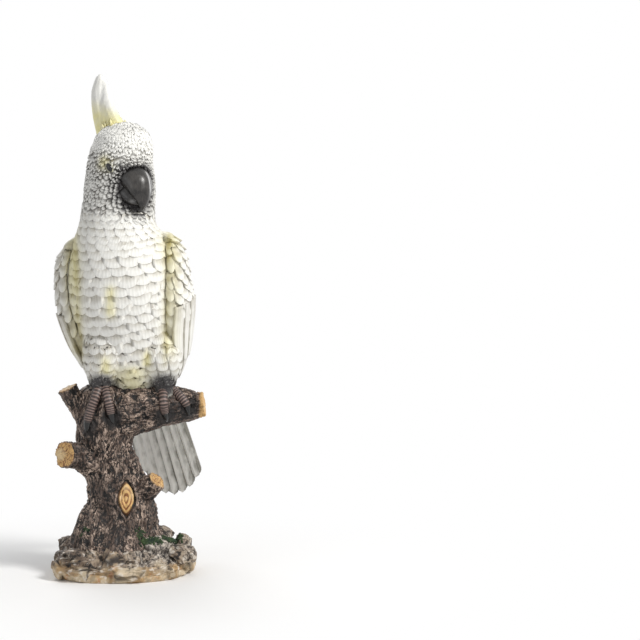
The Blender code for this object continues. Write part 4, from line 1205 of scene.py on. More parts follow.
def mandible(name, sections, tip, sides=120, rows=70):
    """One half of the beak: ovals square to a curved line, with a keel along the top."""
    table = np.array(sections + [(*tip, 0.004, 0.004)])
    at = spline(table, np.linspace(0, len(table) - 1, rows))
    run = unit(np.gradient(at[:, :2], axis=0))
    angle = np.linspace(0, 2 * np.pi, sides, endpoint=False)
    rings = []
    for (ahead, above, half_height, half_width), (run_ahead, run_up) in zip(at, run):
        turned_back = run_ahead < 0 and abs(run_ahead) >= abs(run_up)
        up_ahead, up_up = (run_up, -run_ahead) if turned_back else (-run_up, run_ahead)
        h = np.sin(angle) * half_height * BEAK_LENGTH
        w = np.cos(angle) * half_width * BEAK_WIDTH
        keel = 1 - 0.22 * np.maximum(np.sin(angle), 0) ** 2
        rings.append(in_head(ahead * BEAK_LENGTH + h * up_ahead, w * keel, above * BEAK_LENGTH + h * up_up))
    return lofted(name, rings)


UPPER_BEAK = [
    # ahead and above the middle of the head, half height and half width, as shares of the length
    (0.26, -0.31, 0.300, 0.235),
    (0.52, -0.29, 0.310, 0.250),
    (0.71, -0.39, 0.265, 0.225),
    (0.815, -0.55, 0.205, 0.190),
    (0.860, -0.67, 0.150, 0.140),
    (0.885, -0.78, 0.102, 0.090),
    (0.870, -0.88, 0.062, 0.052),
]
LOWER_BEAK = [
    (0.30, -0.55, 0.270, 0.235),
    (0.52, -0.61, 0.265, 0.245),
    (0.66, -0.70, 0.205, 0.215),
    (0.75, -0.76, 0.120, 0.160),
]
upper_beak = mandible("upper_beak", UPPER_BEAK, (0.840, -0.975))
lower_beak = mandible("lower_beak", LOWER_BEAK, (0.80, -0.75))
print("faces of the beak:", len(upper_beak.data.polygons) + len(lower_beak.data.polygons))


# %% Horn
def horn_paint():
    """Dark horn: brown-grey on the face of the beak, near black at its root and edges (partly its own colour, partly
    painted shade), dusty streaks, and a painted highlight where the ridge mask is.
    """
    material, tree, shader = new_paint("dark_horn")
    root, ridge = attribute(tree, "root", -1100, 0), attribute(tree, "ridge", -1100, -200)
    cloud = texture_noise(tree, 6.0, -700, 300)
    streak = texture_noise(tree, 1.6, -700, 100, 2.0, (1.0, 1.0, 0.22))
    clouded = ramp(tree, cloud, 0.30, 0.70, -400, 300)
    face = mix_colour(tree, clouded, (0.010, 0.009, 0.0085), (0.040, 0.036, 0.033), -200, 300)
    dusty = ramp(tree, streak, 0.52, 0.75, -400, 100, 0.0, 0.22)
    streaked = mix_colour(tree, dusty, face, (0.13, 0.12, 0.11), 0, 300)
    # The ridge mask paints a pale highlight on the horn
    lit = mix_colour(tree, ridge, streaked, (0.66, 0.66, 0.66), 200, 300)
    # The root mask darkens root and edges: the horn's own dark and painted shade under the brow and tufts
    colour = mix_colour(tree, root, lit, (0.012, 0.011, 0.011), 400, 300)
    tree.links.new(colour, shader.inputs["Base Color"])
    tree.links.new(ramp(tree, streak, 0.3, 0.7, 0, -200, 0.22, 0.38), shader.inputs["Roughness"])
    add_relief(tree, shader, streak, 0.25, 0.2)
    return material


horn = horn_paint()
for piece in (upper_beak, lower_beak):
    p = points_of(piece)
    near, aside, above = from_beak(p)
    ahead = (p - HEAD_CENTRE) @ HEAD_FORWARD
    outer = smoothstep(22.5, 26.0, ahead + 0.24 * np.abs(aside))
    lip = smoothstep(0.80, 1.02, near) * (ahead < 33)
    # Near black at the root, the lip and under the brow: partly the horn's own dark, partly painted shade under the
    # brow and tufts
    put_mask(piece, "root", np.clip(1 - outer + 0.75 * lip + smoothstep(9.0, 13.5, above), 0, 1))
    if piece is upper_beak:
        # Painted highlight: a pale streak beside the keel
        painted_highlight = 0.8 * (hump(aside, 5.0, 1.0) + 0.5 * hump(aside, 7.6, 0.5)) * band(above, -12, -2, 8, 12.5)
    else:
        # Painted highlight: a pale crescent on the lower half
        painted_highlight = 0.35 * hump(above, -11.0 - 0.030 * aside * aside, 1.6) * smoothstep(26, 29, ahead)
    put_mask(piece, "ridge", painted_highlight)
    piece.data.materials.append(horn)
    own(piece)

# %% [markdown]
# ## Eyes
#
# Each eye is a black bead in a pale almond-shaped lid, with a dark corner towards the beak. A ball
# would bulge too far out of the head, so all four parts are low domes on the same spot, each a little
# smaller and higher than the last, as they are built up in clay.

# %% Eyes
eye_distance = distance_at_height(0.842 * CROWN - 1.4)
eye_angle = math.acos(16.5 / 26.75) + 0.06
EYE_LIFT = {-1: 0.0, 1: -1.6}


def plain_paint(name, colour, roughness):
    """One colour, mottled a little, with its own gloss."""
    material, tree, shader = new_paint(name)
    shader.inputs["Roughness"].default_value = roughness
    blotch = ramp(tree, texture_noise(tree, 3.0, -600, 0), 0.3, 0.7, -400, 0)
    dark = tuple(v * 0.72 for v in colour)
    tree.links.new(mix_colour(tree, blotch, dark, colour, -200, 0), shader.inputs["Base Color"])
    return material


black_gloss = plain_paint("eye_black", (0.006, 0.005, 0.005), 0.16)
lid_paint = plain_paint("eyelid", (0.50, 0.49, 0.36), 0.55)
rim_paint = plain_paint("eye_rim", (0.05, 0.045, 0.04), 0.5)
corner_paint = plain_paint("eye_corner", (0.06, 0.055, 0.05), 0.5)
for side, label in SIDES:
    point, out, down = (v[0] for v in on_body([eye_distance], [side * eye_angle], EYE_LIFT[side]))
    ahead = unit(HEAD_FORWARD - out * HEAD_FORWARD.dot(out))
    long_way = unit(down * 0.75 + ahead * 0.55)
    short_way = np.cross(out, long_way)

    def oval_dome(name, half_long, half_short, height, paint, shift=(0.0, 0.0), lift=0.1):
        """An almond-shaped dome at the eye, closed by a short rim that goes down into the head."""
        middle = point + shift[0] * long_way + shift[1] * short_way
        angle = np.linspace(0, 2 * np.pi, 36, endpoint=False)
        pinch = 1 - 0.22 * np.abs(np.cos(angle)) ** 6
        rows = []
        for t in np.linspace(0.05, 1.0, 12):
            c = np.cos(angle)[:, None] * half_long * t * long_way
            w = (np.sin(angle) * pinch)[:, None] * half_short * t * short_way
            rows.append(middle + c + w + out * (height * (1 - t**2) ** 0.5 + lift))
        rows.append(rows[-1] - out * 2.0)
        piece = lofted(name, rows)
        piece.data.materials.append(paint)
        return own(piece)

    oval_dome(f"eye_rim_{label}", 5.2, 3.7, 0.9, rim_paint)
    oval_dome(f"eyelid_{label}", 4.9, 3.3, 1.5, lid_paint)
    oval_dome(f"eye_{label}", 4.0, 2.5, 2.1, black_gloss, lift=0.35)
    oval_dome(f"eye_corner_{label}", 2.0, 1.1, 1.2, corner_paint, shift=(4.6, 0.4 * side))

# %% [markdown]
# ## Crest
#
# Seven plumes lean back from the crown and melt into one horn, as they do in a casting. A Boolean
# union would leave sharp creases, so a voxel remesh joins them and a few rounds of smoothing soften the
# valleys. Grooves run up them, the foot is sulphur yellow, and small yellow curls stand in front.

# %% Crest
PLUMES = [
    # base ahead, aside; middle ahead, rise; tip ahead, rise as a share of the crest's height; radius
    (-18.5, 1.2, -27.0, 0.45, -24.5, 0.88, 7.6),
    (-14.5, -1.6, -23.2, 0.52, -20.8, 1.00, 8.8),
    (-12.5, 0.2, -21.6, 0.50, -19.4, 0.95, 8.6),
    (-10.5, 0.8, -19.4, 0.46, -18.0, 0.87, 8.6),
    (-8.5, 0.4, -17.0, 0.41, -16.4, 0.77, 8.4),
    (-6.0, -0.4, -14.0, 0.35, -14.2, 0.65, 8.0),
    (-3.5, -0.8, -10.5, 0.26, -11.0, 0.50, 7.6),
]
PLUME_TAPER = ((0, 0.25, 0.5, 0.75, 0.92, 1.0), (0.9, 1.0, 0.98, 0.78, 0.42, 0.08))
CREST_HEIGHT = 38.5
CROWN_ABOVE_EYES = (1 - 0.842) * CROWN


# %% Plumes
def melted(name, parts, voxel_mm, rounds=0):
    """Parts joined and remeshed into one skin, whose valleys are then softened."""
    bm = bmesh.new()
    for part in parts:
        bm.from_mesh(part.data)
        bpy.data.objects.remove(part)
    mesh = bpy.data.meshes.new(name)
    bm.to_mesh(mesh)
    bm.free()
    joined = bpy.data.objects.new(name, mesh)
    bpy.context.scene.collection.objects.link(joined)
    remesh = joined.modifiers.new("Melt", "REMESH")
    remesh.mode = "VOXEL"
    remesh.voxel_size = voxel_mm * MM
    if rounds:
        soften = joined.modifiers.new("Soften", "SMOOTH")
        soften.iterations = rounds
    plain = made_plain(name, joined)
    plain.data.shade_smooth()
    return plain


plumes = []
for number, (base, aside, mid, mid_rise, tip, tip_rise, radius) in enumerate(PLUMES):
    crown_drop = 4.0 + 0.55 * abs(base + 2.0)
    line = np.array([
        (base + 6.0, CROWN_ABOVE_EYES - crown_drop - 4.0),
        (base, CROWN_ABOVE_EYES - crown_drop + 4.0),
        (mid, CROWN_ABOVE_EYES + CREST_HEIGHT * mid_rise),
        (tip, CROWN_ABOVE_EYES + CREST_HEIGHT * tip_rise),
    ])
    share = np.linspace(0, 1, 60)
    at = spline(line, 3 * share)
    run = unit(np.gradient(at, axis=0))
    width = np.interp(share, *PLUME_TAPER) * radius
    angle = np.linspace(0, 2 * np.pi, 64, endpoint=False)
    rings = []
    for t, (ahead, above), (run_ahead, run_up), w in zip(share, at, run, width):
        groove = 1 + 0.07 * np.abs(np.sin(5 * angle + 2.0 * t)) - 0.07
        forth, beside = np.cos(angle) * w * groove, 0.75 * w * groove * np.sin(angle)
        rings.append(in_head(ahead + forth * run_up, aside + beside, above - forth * run_ahead))
    plumes.append(lofted(f"plume_{number}", rings))
crest = melted("crest", plumes, 0.6, 10)
p = points_of(crest)
foot_line = smoothstep(377, 360, p[:, 2] + 0.35 * (p[:, 0] + 14) + 2.5 * grain(p, 5.0))
put_mask(crest, "tip", 0.93 - 0.20 * smoothstep(0.2, -0.5, grain(p * np.array([1, 1, 0.25]), 2.0)))
put_mask(crest, "yellow", foot_line * 0.95)
flat_masks(crest, across=0.0, soot=0.0)
# Painted shade: the crest is greyer on its left side as seen, away from the key lamp
put_mask(crest, "grey", 0.10 * smoothstep(-14, -24, p[:, 0]))
crest.data.materials.append(plumage)
own(crest)

# %% Curls before the crest
curl_shell = feather_shell("crest_curl", 5, (0.0, 0.3, 0.55, 0.78, 0.92, 1.0), 0.7)
CURLS = 26
aheads = chance.uniform(-8.0, 4.0, CURLS)
asides = chance.normal(0, 4.5, CURLS)
spots = in_head(aheads, asides, CROWN_ABOVE_EYES - 2.5 - 0.035 * (aheads - 2) ** 2 - 0.03 * asides**2)
lean = unit(np.stack([in_head(-0.55, 0.0, 0.9) - HEAD_CENTRE] * CURLS) + chance.normal(0, 0.16, (CURLS, 3)))
face = unit(np.stack([in_head(0.9, 0.0, 0.5) - HEAD_CENTRE] * CURLS))
sizes = np.stack([np.full(CURLS, 3.6), chance.uniform(8, 12, CURLS), np.full(CURLS, 1.4)], -1)
curls = lay("crest_curls", curl_shell, spots + lean * 4.0, face, lean, sizes, plumage, 10.0, 4)
flat_masks(curls, yellow=0.85, soot=0.0, grey=0.0)
own(curls)

# %% [markdown]
# ## Stump
#
# The stump is modelled as a trunk, a thick perch and three broken branches. A voxel remesh melts them
# into one skin, as clay would be, and the bark is then pressed into that skin along the grain.

# %% Tables of the wood
TRUNK = [
    # x, y, z and radius of each section
    (-3.5, 1.0, 12.0, 38.0), (-3.5, 1.0, 25.5, 35.7), (-2.5, 0.8, 39.5, 30.0), (-0.5, 0.5, 57.0, 26.2),
    (-5.5, 0.0, 75.0, 22.1), (-10.5, 0.0, 95.0, 20.1), (-11.8, -1.0, 112.0, 22.0), (-11.5, -2.0, 130.0, 23.8),
    (-8.5, -2.5, 143.6, 20.7), (-7.0, -2.5, 151.2, 12.6),
]
PERCH = [
    (-18.0, -2.0, 127.5, 18.0), (0.0, -2.5, 130.5, 21.6), (21.8, -3.0, 133.5, 18.6), (42.9, -4.0, 134.0, 14.0),
    (58.1, -5.0, 134.5, 10.0), (66.0, -6.0, 135.5, 9.2),
]
TWIG = [
    (-18.0, -2.0, 112.5, 11.5), (-29.0, -3.0, 126.9, 8.3), (-37.0, -4.5, 139.8, 7.2), (-41.8, -5.5, 149.3, 7.3),
]
LEFT_STUB = [
    (-18.0, -2.0, 87.4, 14.0), (-30.0, -9.0, 94.5, 11.0), (-39.0, -16.0, 97.3, 10.4), (-44.0, -21.0, 98.5, 10.1),
]
RIGHT_STUB = [
    (6.0, -6.0, 60.0, 12.3), (16.0, -11.0, 66.1, 9.2), (24.0, -14.5, 72.7, 8.2), (28.0, -16.5, 76.8, 7.9),
]
BARK_RELIEF = 3.0


# %% Stump forms
def ridge_lumps(angle, distance, radius, ridges, seed, spread):
    """Wandering ridges round a branch, as a share of its radius."""
    lumps = []
    for a in angle:
        wander = noise.noise(Vector((seed, distance * 0.030, math.cos(a) * 1.5)))
        wave = math.sin(ridges * a + 2.5 * wander + seed)
        knot = noise.noise(Vector((math.cos(a), math.sin(a), distance * 0.045 + seed)))
        lumps.append((0.75 * (abs(wave) - 0.5) + 0.9 * knot) * spread * BARK_RELIEF / radius)
    return np.array(lumps)


def wood_form(name, table, rows, sides, ridges, seed, spread=1.0, depth=1.0, roots=0.0):
    """A branch lofted round the line through its sections."""
    at = spline(np.array(table), np.linspace(0, len(table) - 1, rows))
    ahead = unit(np.gradient(at[:, :3], axis=0))
    back = np.array([0.0, 1.0, 0.0])
    back = unit(back - ahead * (ahead @ back)[:, None])
    across = np.cross(back, ahead)
    angle = np.linspace(0, 2 * np.pi, sides, endpoint=False)
    travelled = np.concatenate([[0], np.cumsum(np.linalg.norm(np.diff(at[:, :3], axis=0), axis=1))])
    rings = []
    for i in range(rows):
        flare = roots * (1 - smoothstep(0, 68.4, at[i, 2])) * (0.5 + 0.5 * np.cos(5 * angle + 0.6))
        r = at[i, 3] * (1 + flare + ridge_lumps(angle, travelled[i], at[i, 3], ridges, seed, spread))
        sideways, backwards = np.outer(np.cos(angle) * r, across[i]), np.outer(np.sin(angle) * r * depth, back[i])
        rings.append(at[i, :3] + sideways + backwards)
    return lofted(name, rings), at


stump_parts = []
BRANCHES = []
for name, table, rows, sides, ridges, seed, spread, depth, roots in (
    # the name and table of a branch, its mesh, its ridges, and how deep and how spread at the foot it is
    ("trunk", TRUNK, 60, 96, 5, 1.3, 1.0, 0.92, 0.16),
    ("perch", PERCH, 40, 72, 3, 4.1, 1.0, 1.0, 0.0),
    ("twig", TWIG, 24, 40, 2, 7.7, 0.6, 1.0, 0.0),
    ("left_stub", LEFT_STUB, 24, 40, 2, 9.2, 0.6, 1.0, 0.0),
    ("right_stub", RIGHT_STUB, 24, 40, 2, 11.9, 0.6, 1.0, 0.0),
):
    form, line = wood_form(name, table, rows, sides, ridges, seed, spread, depth, roots)
    stump_parts.append(form)
    BRANCHES.append(line)
stump = melted("stump", stump_parts, 0.8)
print("stump faces:", len(stump.data.polygons))

# %% [markdown]
# ## Bark
#
# The bark is scored along the grain of each branch. A wave texture would run straight on over the
# forks, so each point first finds its nearest branch and that branch's direction. Noise is stretched
# along it, and its ridges are pressed into the mesh, because the bark shows in outline.

# %% Bark
def branch_frame(p):
    """For each point: the nearest branch's index, its direction there, and the share along it."""
    best = np.full(len(p), 1e9)
    direction = np.zeros((len(p), 3))
    index = np.zeros(len(p), int)
    share = np.zeros(len(p))
    for b, line in enumerate(BRANCHES):
        run = unit(np.gradient(line[:, :3], axis=0))
        gap = np.linalg.norm(p[:, None, :] - line[None, :, :3], axis=2) - line[None, :, 3]
        near = gap.argmin(1)
        value = gap[np.arange(len(p)), near]
        better = value < best
        best[better] = value[better]
        direction[better] = run[near[better]]
        index[better] = b
        share[better] = near[better] / (len(line) - 1)
    return index, direction, share


p = points_of(stump)
n = normals_of(stump)
branch, direction, share = branch_frame(p)
lengthways = (p * direction).sum(1, keepdims=True)
stretched = p - direction * lengthways * 0.74
wander = np.stack([grain(p, 14.0, 3.1), grain(p, 14.0, 7.7), grain(p, 14.0, 1.9)], -1) * 2.6
coarse = 1 - 2.3 * np.abs(grain(stretched + wander, 4.6, 0.3))
fine = 1 - 2.3 * np.abs(grain(stretched * 1.1 + 0.8 * wander, 2.3, 5.0))
knots = grain(p, 7.0, 9.4)
ridge = np.clip(0.62 * coarse + 0.42 * fine + 0.42 * knots - 0.12, -1, 1)
facing_end = (n * direction).sum(1)
cut = smoothstep(0.45, 0.75, facing_end) * (share > 0.95) * (branch > 0)
rise = (ridge - 0.45) * 1.75 * (1 - 0.8 * cut)

# %% [markdown]
# ## The oval scar and the knot
#
# On the front a branch was sawn off flush, which leaves an almond of bare wood with rings and a swollen
# lip, and over it a knot sits in the perch. Both are drawn by their distance from the middle, in the
# same pass that moves the bark, so they can't drift away from it.

# %% The oval scar and the knot
SCAR_X, SCAR_Z, SCAR_HALF_WIDTH, SCAR_HALF_HEIGHT = 3.6, 63.0, 7.4, 15.0
KNOT_X, KNOT_Z, KNOT_HALF_WIDTH, KNOT_HALF_HEIGHT = 10.5, 143.0, 5.2, 3.8
PERCH_REACH = 67.4
scar_z = (p[:, 2] - SCAR_Z) / SCAR_HALF_HEIGHT
pointed = 1 - 0.42 * np.minimum(np.abs(scar_z), 1.2) ** 1.5
scar_x = (p[:, 0] - SCAR_X) / (SCAR_HALF_WIDTH * pointed)
squarer = 0.15 * np.maximum(-scar_z, 0) * np.abs(scar_x)
scar_r = np.sqrt(scar_x**2 + scar_z**2 * (1 + 0.25 * np.abs(scar_x)) + squarer)
scar_front = smoothstep(-8, -14, p[:, 1])
scar_lip = hump(scar_r, 1.12, 0.16) * scar_front
scar_wood = smoothstep(0.90, 0.82, scar_r) * scar_front
scar_groove = hump(scar_r, 0.91, 0.085) * scar_front
near_scar = smoothstep(1.6, 1.2, scar_r) * scar_front
wood_lines = np.sin(scar_r * 21.0 + 1.2 * grain(p, 3.5, 2.0))
rise = rise * (1 - 0.75 * near_scar) + 1.7 * scar_lip - 1.5 * scar_groove
rise = rise + scar_wood * (0.9 * (1 - scar_r**2) + 0.35 * wood_lines + 0.3)
knot_r = np.hypot((p[:, 0] - KNOT_X) / KNOT_HALF_WIDTH, (p[:, 2] - KNOT_Z) / KNOT_HALF_HEIGHT)
knot_front = smoothstep(-6, -12, p[:, 1])
rise = rise + knot_front * (1.2 * hump(knot_r, 1.0, 0.3) - 2.0 * hump(knot_r, 0.0, 0.55))
ridge = np.where(near_scar > 0.5, np.maximum(ridge * 0.5 + 0.5 * scar_lip - 1.2 * scar_groove, -1), ridge)
ridge = ridge + knot_front * (0.6 * hump(knot_r, 1.0, 0.3) - hump(knot_r, 0.0, 0.6))
cut = np.maximum(cut, scar_wood)
p = p + n * rise[:, None]
p[:, 0] = np.minimum(p[:, 0], PERCH_REACH)
move_points(stump, p)
print("bark moved by", round(float(rise.min()), 1), "to", round(float(rise.max()), 1), "mm")

# %% Where the stump's paint goes
put_mask(stump, "ridge", 0.5 + 0.5 * np.clip(ridge, -1, 1))
perch_end = smoothstep(61.0, 63.0, p[:, 0] + 1.2 * grain(p, 5.0, 2.0)) * (branch == 1)
cut = np.maximum(cut, perch_end)
put_mask(stump, "cut", cut)
put_mask(stump, "lying", smoothstep(0.45, 0.8, np.abs(direction[:, 0])))
lines = np.where(scar_wood > 0.1, 0.5 + 0.5 * wood_lines, 0.5 + 0.5 * np.sin(3.2 * grain(p, 4.0, 6.0) * 6))
lines = np.maximum(lines, 0.9 * perch_end)
put_mask(stump, "lines", lines)
end_edge = cut * (1 - smoothstep(0.75, 0.97, facing_end)) * (1 - 0.8 * perch_end)
put_mask(stump, "rim", np.where(scar_wood > 0.1, smoothstep(0.70, 0.86, scar_r), end_edge))


# %% [markdown]
# ## Bark paint
#
# The painter fills the bark with near black, wipes brown over it and dry-brushes the ridges pinkish
# cream. The group does the same with the ridge mask, and adds fine cracks and hair-thin streaks that
# the mesh is too coarse for. The cut ends get honey wood, rings and a scorched edge.

# %% Bark paint
def off_middle(tree, value, middle, x, y):
    """How far a value is from a middle: its low line is a thin vein."""
    return math_node(tree, "ABSOLUTE", math_node(tree, "SUBTRACT", value, middle, x - 100, y), None, x, y)


def bark_paint_group():
    tree, start, end = group_of(
        "Bark paint",
        [
            ("Dark", "NodeSocketColor", (0.005, 0.004, 0.0035, 1)),
            ("Bark", "NodeSocketColor", (0.052, 0.030, 0.021, 1)),
            ("Dry brush", "NodeSocketColor", (0.60, 0.46, 0.37, 1)),
            ("Heartwood", "NodeSocketColor", (0.66, 0.41, 0.16, 1)),
        ],
        [("Color", "NodeSocketColor"), ("Roughness", "NodeSocketFloat"), ("Height", "NodeSocketFloat")],
    )
    ridge = attribute(tree, "ridge", -1200, -300)
    cut = attribute(tree, "cut", -1200, -480)
    lines = attribute(tree, "lines", -1200, -660)
    rim = attribute(tree, "rim", -1200, -840)
    blotch = texture_noise(tree, 15.0, -700, 300)
    speck = texture_noise(tree, 1.5, -700, 100, 3.0)
    roughened = math_node(tree, "MULTIPLY", math_node(tree, "SUBTRACT", speck, 0.5, -500, 100), 0.6, -350, 100)
    vein_noise = texture_noise(tree, 3.2, -900, -700, 4.0, (1.0, 1.0, 0.55))
    crackle = ramp(tree, off_middle(tree, vein_noise, 0.5, -600, -700), 0.0, 0.07, -450, -700)
    sunk = math_node(tree, "MULTIPLY", math_node(tree, "SUBTRACT", crackle, 0.75, -320, -700), 0.42, -250, -700)
    rough_ridge = math_node(tree, "ADD", math_node(tree, "ADD", ridge, roughened, -300, -100), sunk, -200, -100)
    high = ramp(tree, rough_ridge, 0.42, 0.80, 0, -100)
    base = mix_colour(tree, high, start.outputs["Dark"], start.outputs["Bark"], 200, 0)
    patchy = ramp(tree, blotch, 0.36, 0.64, 0, -500, 0.15, 1.0)
    standing = texture_noise(tree, 2.4, -900, -1000, 3.0, (1.0, 1.0, 0.28))
    level = texture_noise(tree, 2.4, -900, -1200, 3.0, (0.28, 1.0, 1.0))
    lying = attribute(tree, "lying", -900, -1400)
    both_ways = node(tree, "ShaderNodeMix", -650, -1100, data_type="FLOAT")
    tree.links.new(lying, both_ways.inputs[0])
    tree.links.new(standing, both_ways.inputs[2])
    tree.links.new(level, both_ways.inputs[3])
    thin = off_middle(tree, both_ways.outputs[0], 0.53, -400, -1100)
    thin_line = ramp(tree, thin, 0.012, 0.055, -300, -1100, 1.0, 0.0)
    streak = math_node(tree, "MULTIPLY", thin_line, ramp(tree, rough_ridge, 0.38, 0.75, -150, -1000), -50, -1100)
    raised = math_node(tree, "MULTIPLY", ramp(tree, rough_ridge, 0.78, 1.05, 0, -300), 0.5, 60, -300)
    caught = math_node(tree, "MAXIMUM", streak, raised, 100, -400)
    brushed = math_node(tree, "MULTIPLY", caught, patchy, 200, -300, True)
    colour = mix_colour(tree, brushed, base, start.outputs["Dry brush"], 400, 0)
    ring_lines = math_node(tree, "MULTIPLY", lines, 0.75, 0, 300)
    vein = math_node(tree, "ADD", ring_lines, math_node(tree, "MULTIPLY", speck, 0.35, 0, 420), 160, 300)
    wood_dark = (0.24, 0.095, 0.03)
    wood = mix_colour(tree, ramp(tree, vein, 0.30, 0.62, 300, 300), wood_dark, start.outputs["Heartwood"], 480, 300)
    pale = mix_colour(tree, ramp(tree, blotch, 0.50, 0.66, 300, 500, 0.0, 0.8), wood, (0.80, 0.62, 0.36), 640, 300)
    scorched = mix_colour(tree, rim, pale, (0.12, 0.05, 0.02), 800, 300)
    colour = mix_colour(tree, cut, colour, scorched, 600, 0)
    colour = mix_colour(tree, attribute(tree, "claws", 400, -900), colour, (0.010, 0.008, 0.008), 760, 0)
    tree.links.new(colour, end.inputs["Color"])
    tree.links.new(ramp(tree, speck, 0.2, 0.8, 400, -500, 0.46, 0.66), end.inputs["Roughness"])
    grit = math_node(tree, "MULTIPLY", speck, 0.5, 400, -700)
    tree.links.new(math_node(tree, "ADD", grit, crackle, 600, -700), end.inputs["Height"])
    return tree


bark = painted("bark", bark_paint_group(), {}, 0.75, 0.6)
stump.data.materials.append(bark)
own(stump)

# %% [markdown]
# ## Legs and feet
#
# Feathered thighs come down in front of the belly, and black-grey paint with painted shade darkens them where the
# toes begin. They could be part of the body's skin, but as lofts of their own they stand off the belly with a fold
# between, as they do on the casting. Their feathers hang in rings.

# %% Thighs
THIGH = np.array([
    # share of half the leg spacing inward, forward, height above the seat, radius
    (0.40, 10.0, 50.0, 15.0), (0.32, 4.0, 40.0, 18.5), (0.22, 1.0, 27.0, 19.0), (0.12, 0.0, 15.0, 16.0),
    (0.04, 0.0, 6.0, 11.0), (0.00, 0.0, -1.0, 8.2), (0.00, 0.0, -12.0, 7.6),
])
LEGS = {side: np.array([place, -11.0, SEAT]) for side, place in zip((-1, 1), LEG_PLACES)}


def thigh_place(side, position, angle, lift=0.0):
    inward, forward, height, radius = np.moveaxis(spline(THIGH, position), -1, 0)
    centre = LEGS[side] + np.stack([-side * inward * 24.5, forward, height], -1)
    outward_way = np.stack([np.cos(angle), np.sin(angle), 0 * angle], -1)
    return centre + outward_way * (radius + lift)[..., None], outward_way


for side, label in SIDES:
    angle = np.linspace(0, 2 * np.pi, 48, endpoint=False)
    position = np.linspace(0, 6, 50)[:, None] + 0 * angle
    rings, _ = thigh_place(side, position, np.broadcast_to(angle, position.shape), 0 * position - 0.4)
    thigh = lofted(f"thigh_{label}", rings)
    flat_masks(thigh, tip=0.6, across=0.0)
    paint_plumage(thigh)
    thigh.data.materials.append(plumage)
    own(thigh)
    spots, outs, downs, sizes = [], [], [], []
    for number, at_row in enumerate(np.linspace(1.35, 4.6, 7)):
        radius = spline(THIGH, np.array(at_row))[3]
        count = max(6, int(round(2 * np.pi * radius / 9.0)))
        for i in range(count):
            a = 2 * np.pi * (i + 0.5 * (number % 2)) / count
            here, way = thigh_place(side, np.array(at_row), np.array(a), np.array(0.1))
            below, _ = thigh_place(side, np.array(at_row + 0.1), np.array(a), np.array(0.1))
            along_leg = unit(below - here)
            spots.append(here)
            outs.append(unit(way - along_leg * way.dot(along_leg)))
            downs.append(along_leg)
            sizes.append((11.5, 13.0 - 1.1 * max(0.0, at_row - 2.5), 1.2))
    thigh_feathers = lay(f"thigh_feathers_{label}", breast_shell, spots, outs, downs, sizes, plumage, 4.0, 21)
    paint_plumage(thigh_feathers)
    own(thigh_feathers)

# %% [markdown]
# ## Toes
#
# Each toe is a tube laid on the wood, ringed with scales, that ends in a black claw. Drawn freehand it
# would float or sink, so a ray is cast back to the bark at every step of its path, and the tube is
# lofted along the places that were hit.

# %% Tables of the toes
TOE_RADIUS = 3.7
RING_SPACING = 2.0
FRONT_TOES = {
    # for each foot, toes as (sideways, height) from the leg, seen from the front
    -1: [
        [(0.0, 2.0), (-4.0, -7.0), (-8.0, -17.0), (-11.0, -28.0), (-11.5, -36.0)],
        [(1.0, 2.0), (4.0, -6.0), (6.0, -14.0), (7.5, -22.0), (9.0, -29.0)],
    ],
    1: [
        [(-1.0, 3.0), (-1.0, -7.0), (-0.5, -15.0), (0.5, -22.0), (2.0, -29.0)],
        [(2.0, 1.0), (8.0, -6.0), (14.0, -11.0), (18.0, -17.0), (19.0, -25.0)],
    ],
}
BACK_TOES = [[(-3.0, 2.0), (-5.0, -7.0), (-6.0, -16.0)], [(3.0, 2.0), (5.5, -7.0), (6.5, -16.0)]]
TOE_TAPER = np.array([1.05, 1.04, 1.02, 0.98, 0.96, 0.93, 0.80, 0.55, 0.16])


# %% Toes that lie on the wood
def ray_tree(piece):
    """A search tree that finds where a line meets a piece, in millimetres."""
    return BVHTree.FromPolygons(points_of(piece).tolist(), [tuple(f.vertices) for f in piece.data.polygons])


stump_tree = ray_tree(stump)


def wood_front(x, z, towards):
    """Where a line along Y first meets the wood, from the front for 1 and from behind for -1."""
    hit = stump_tree.ray_cast(Vector((x, -towards * 120.0, z)), Vector((0, towards, 0)))[0]
    return None if hit is None else hit.y


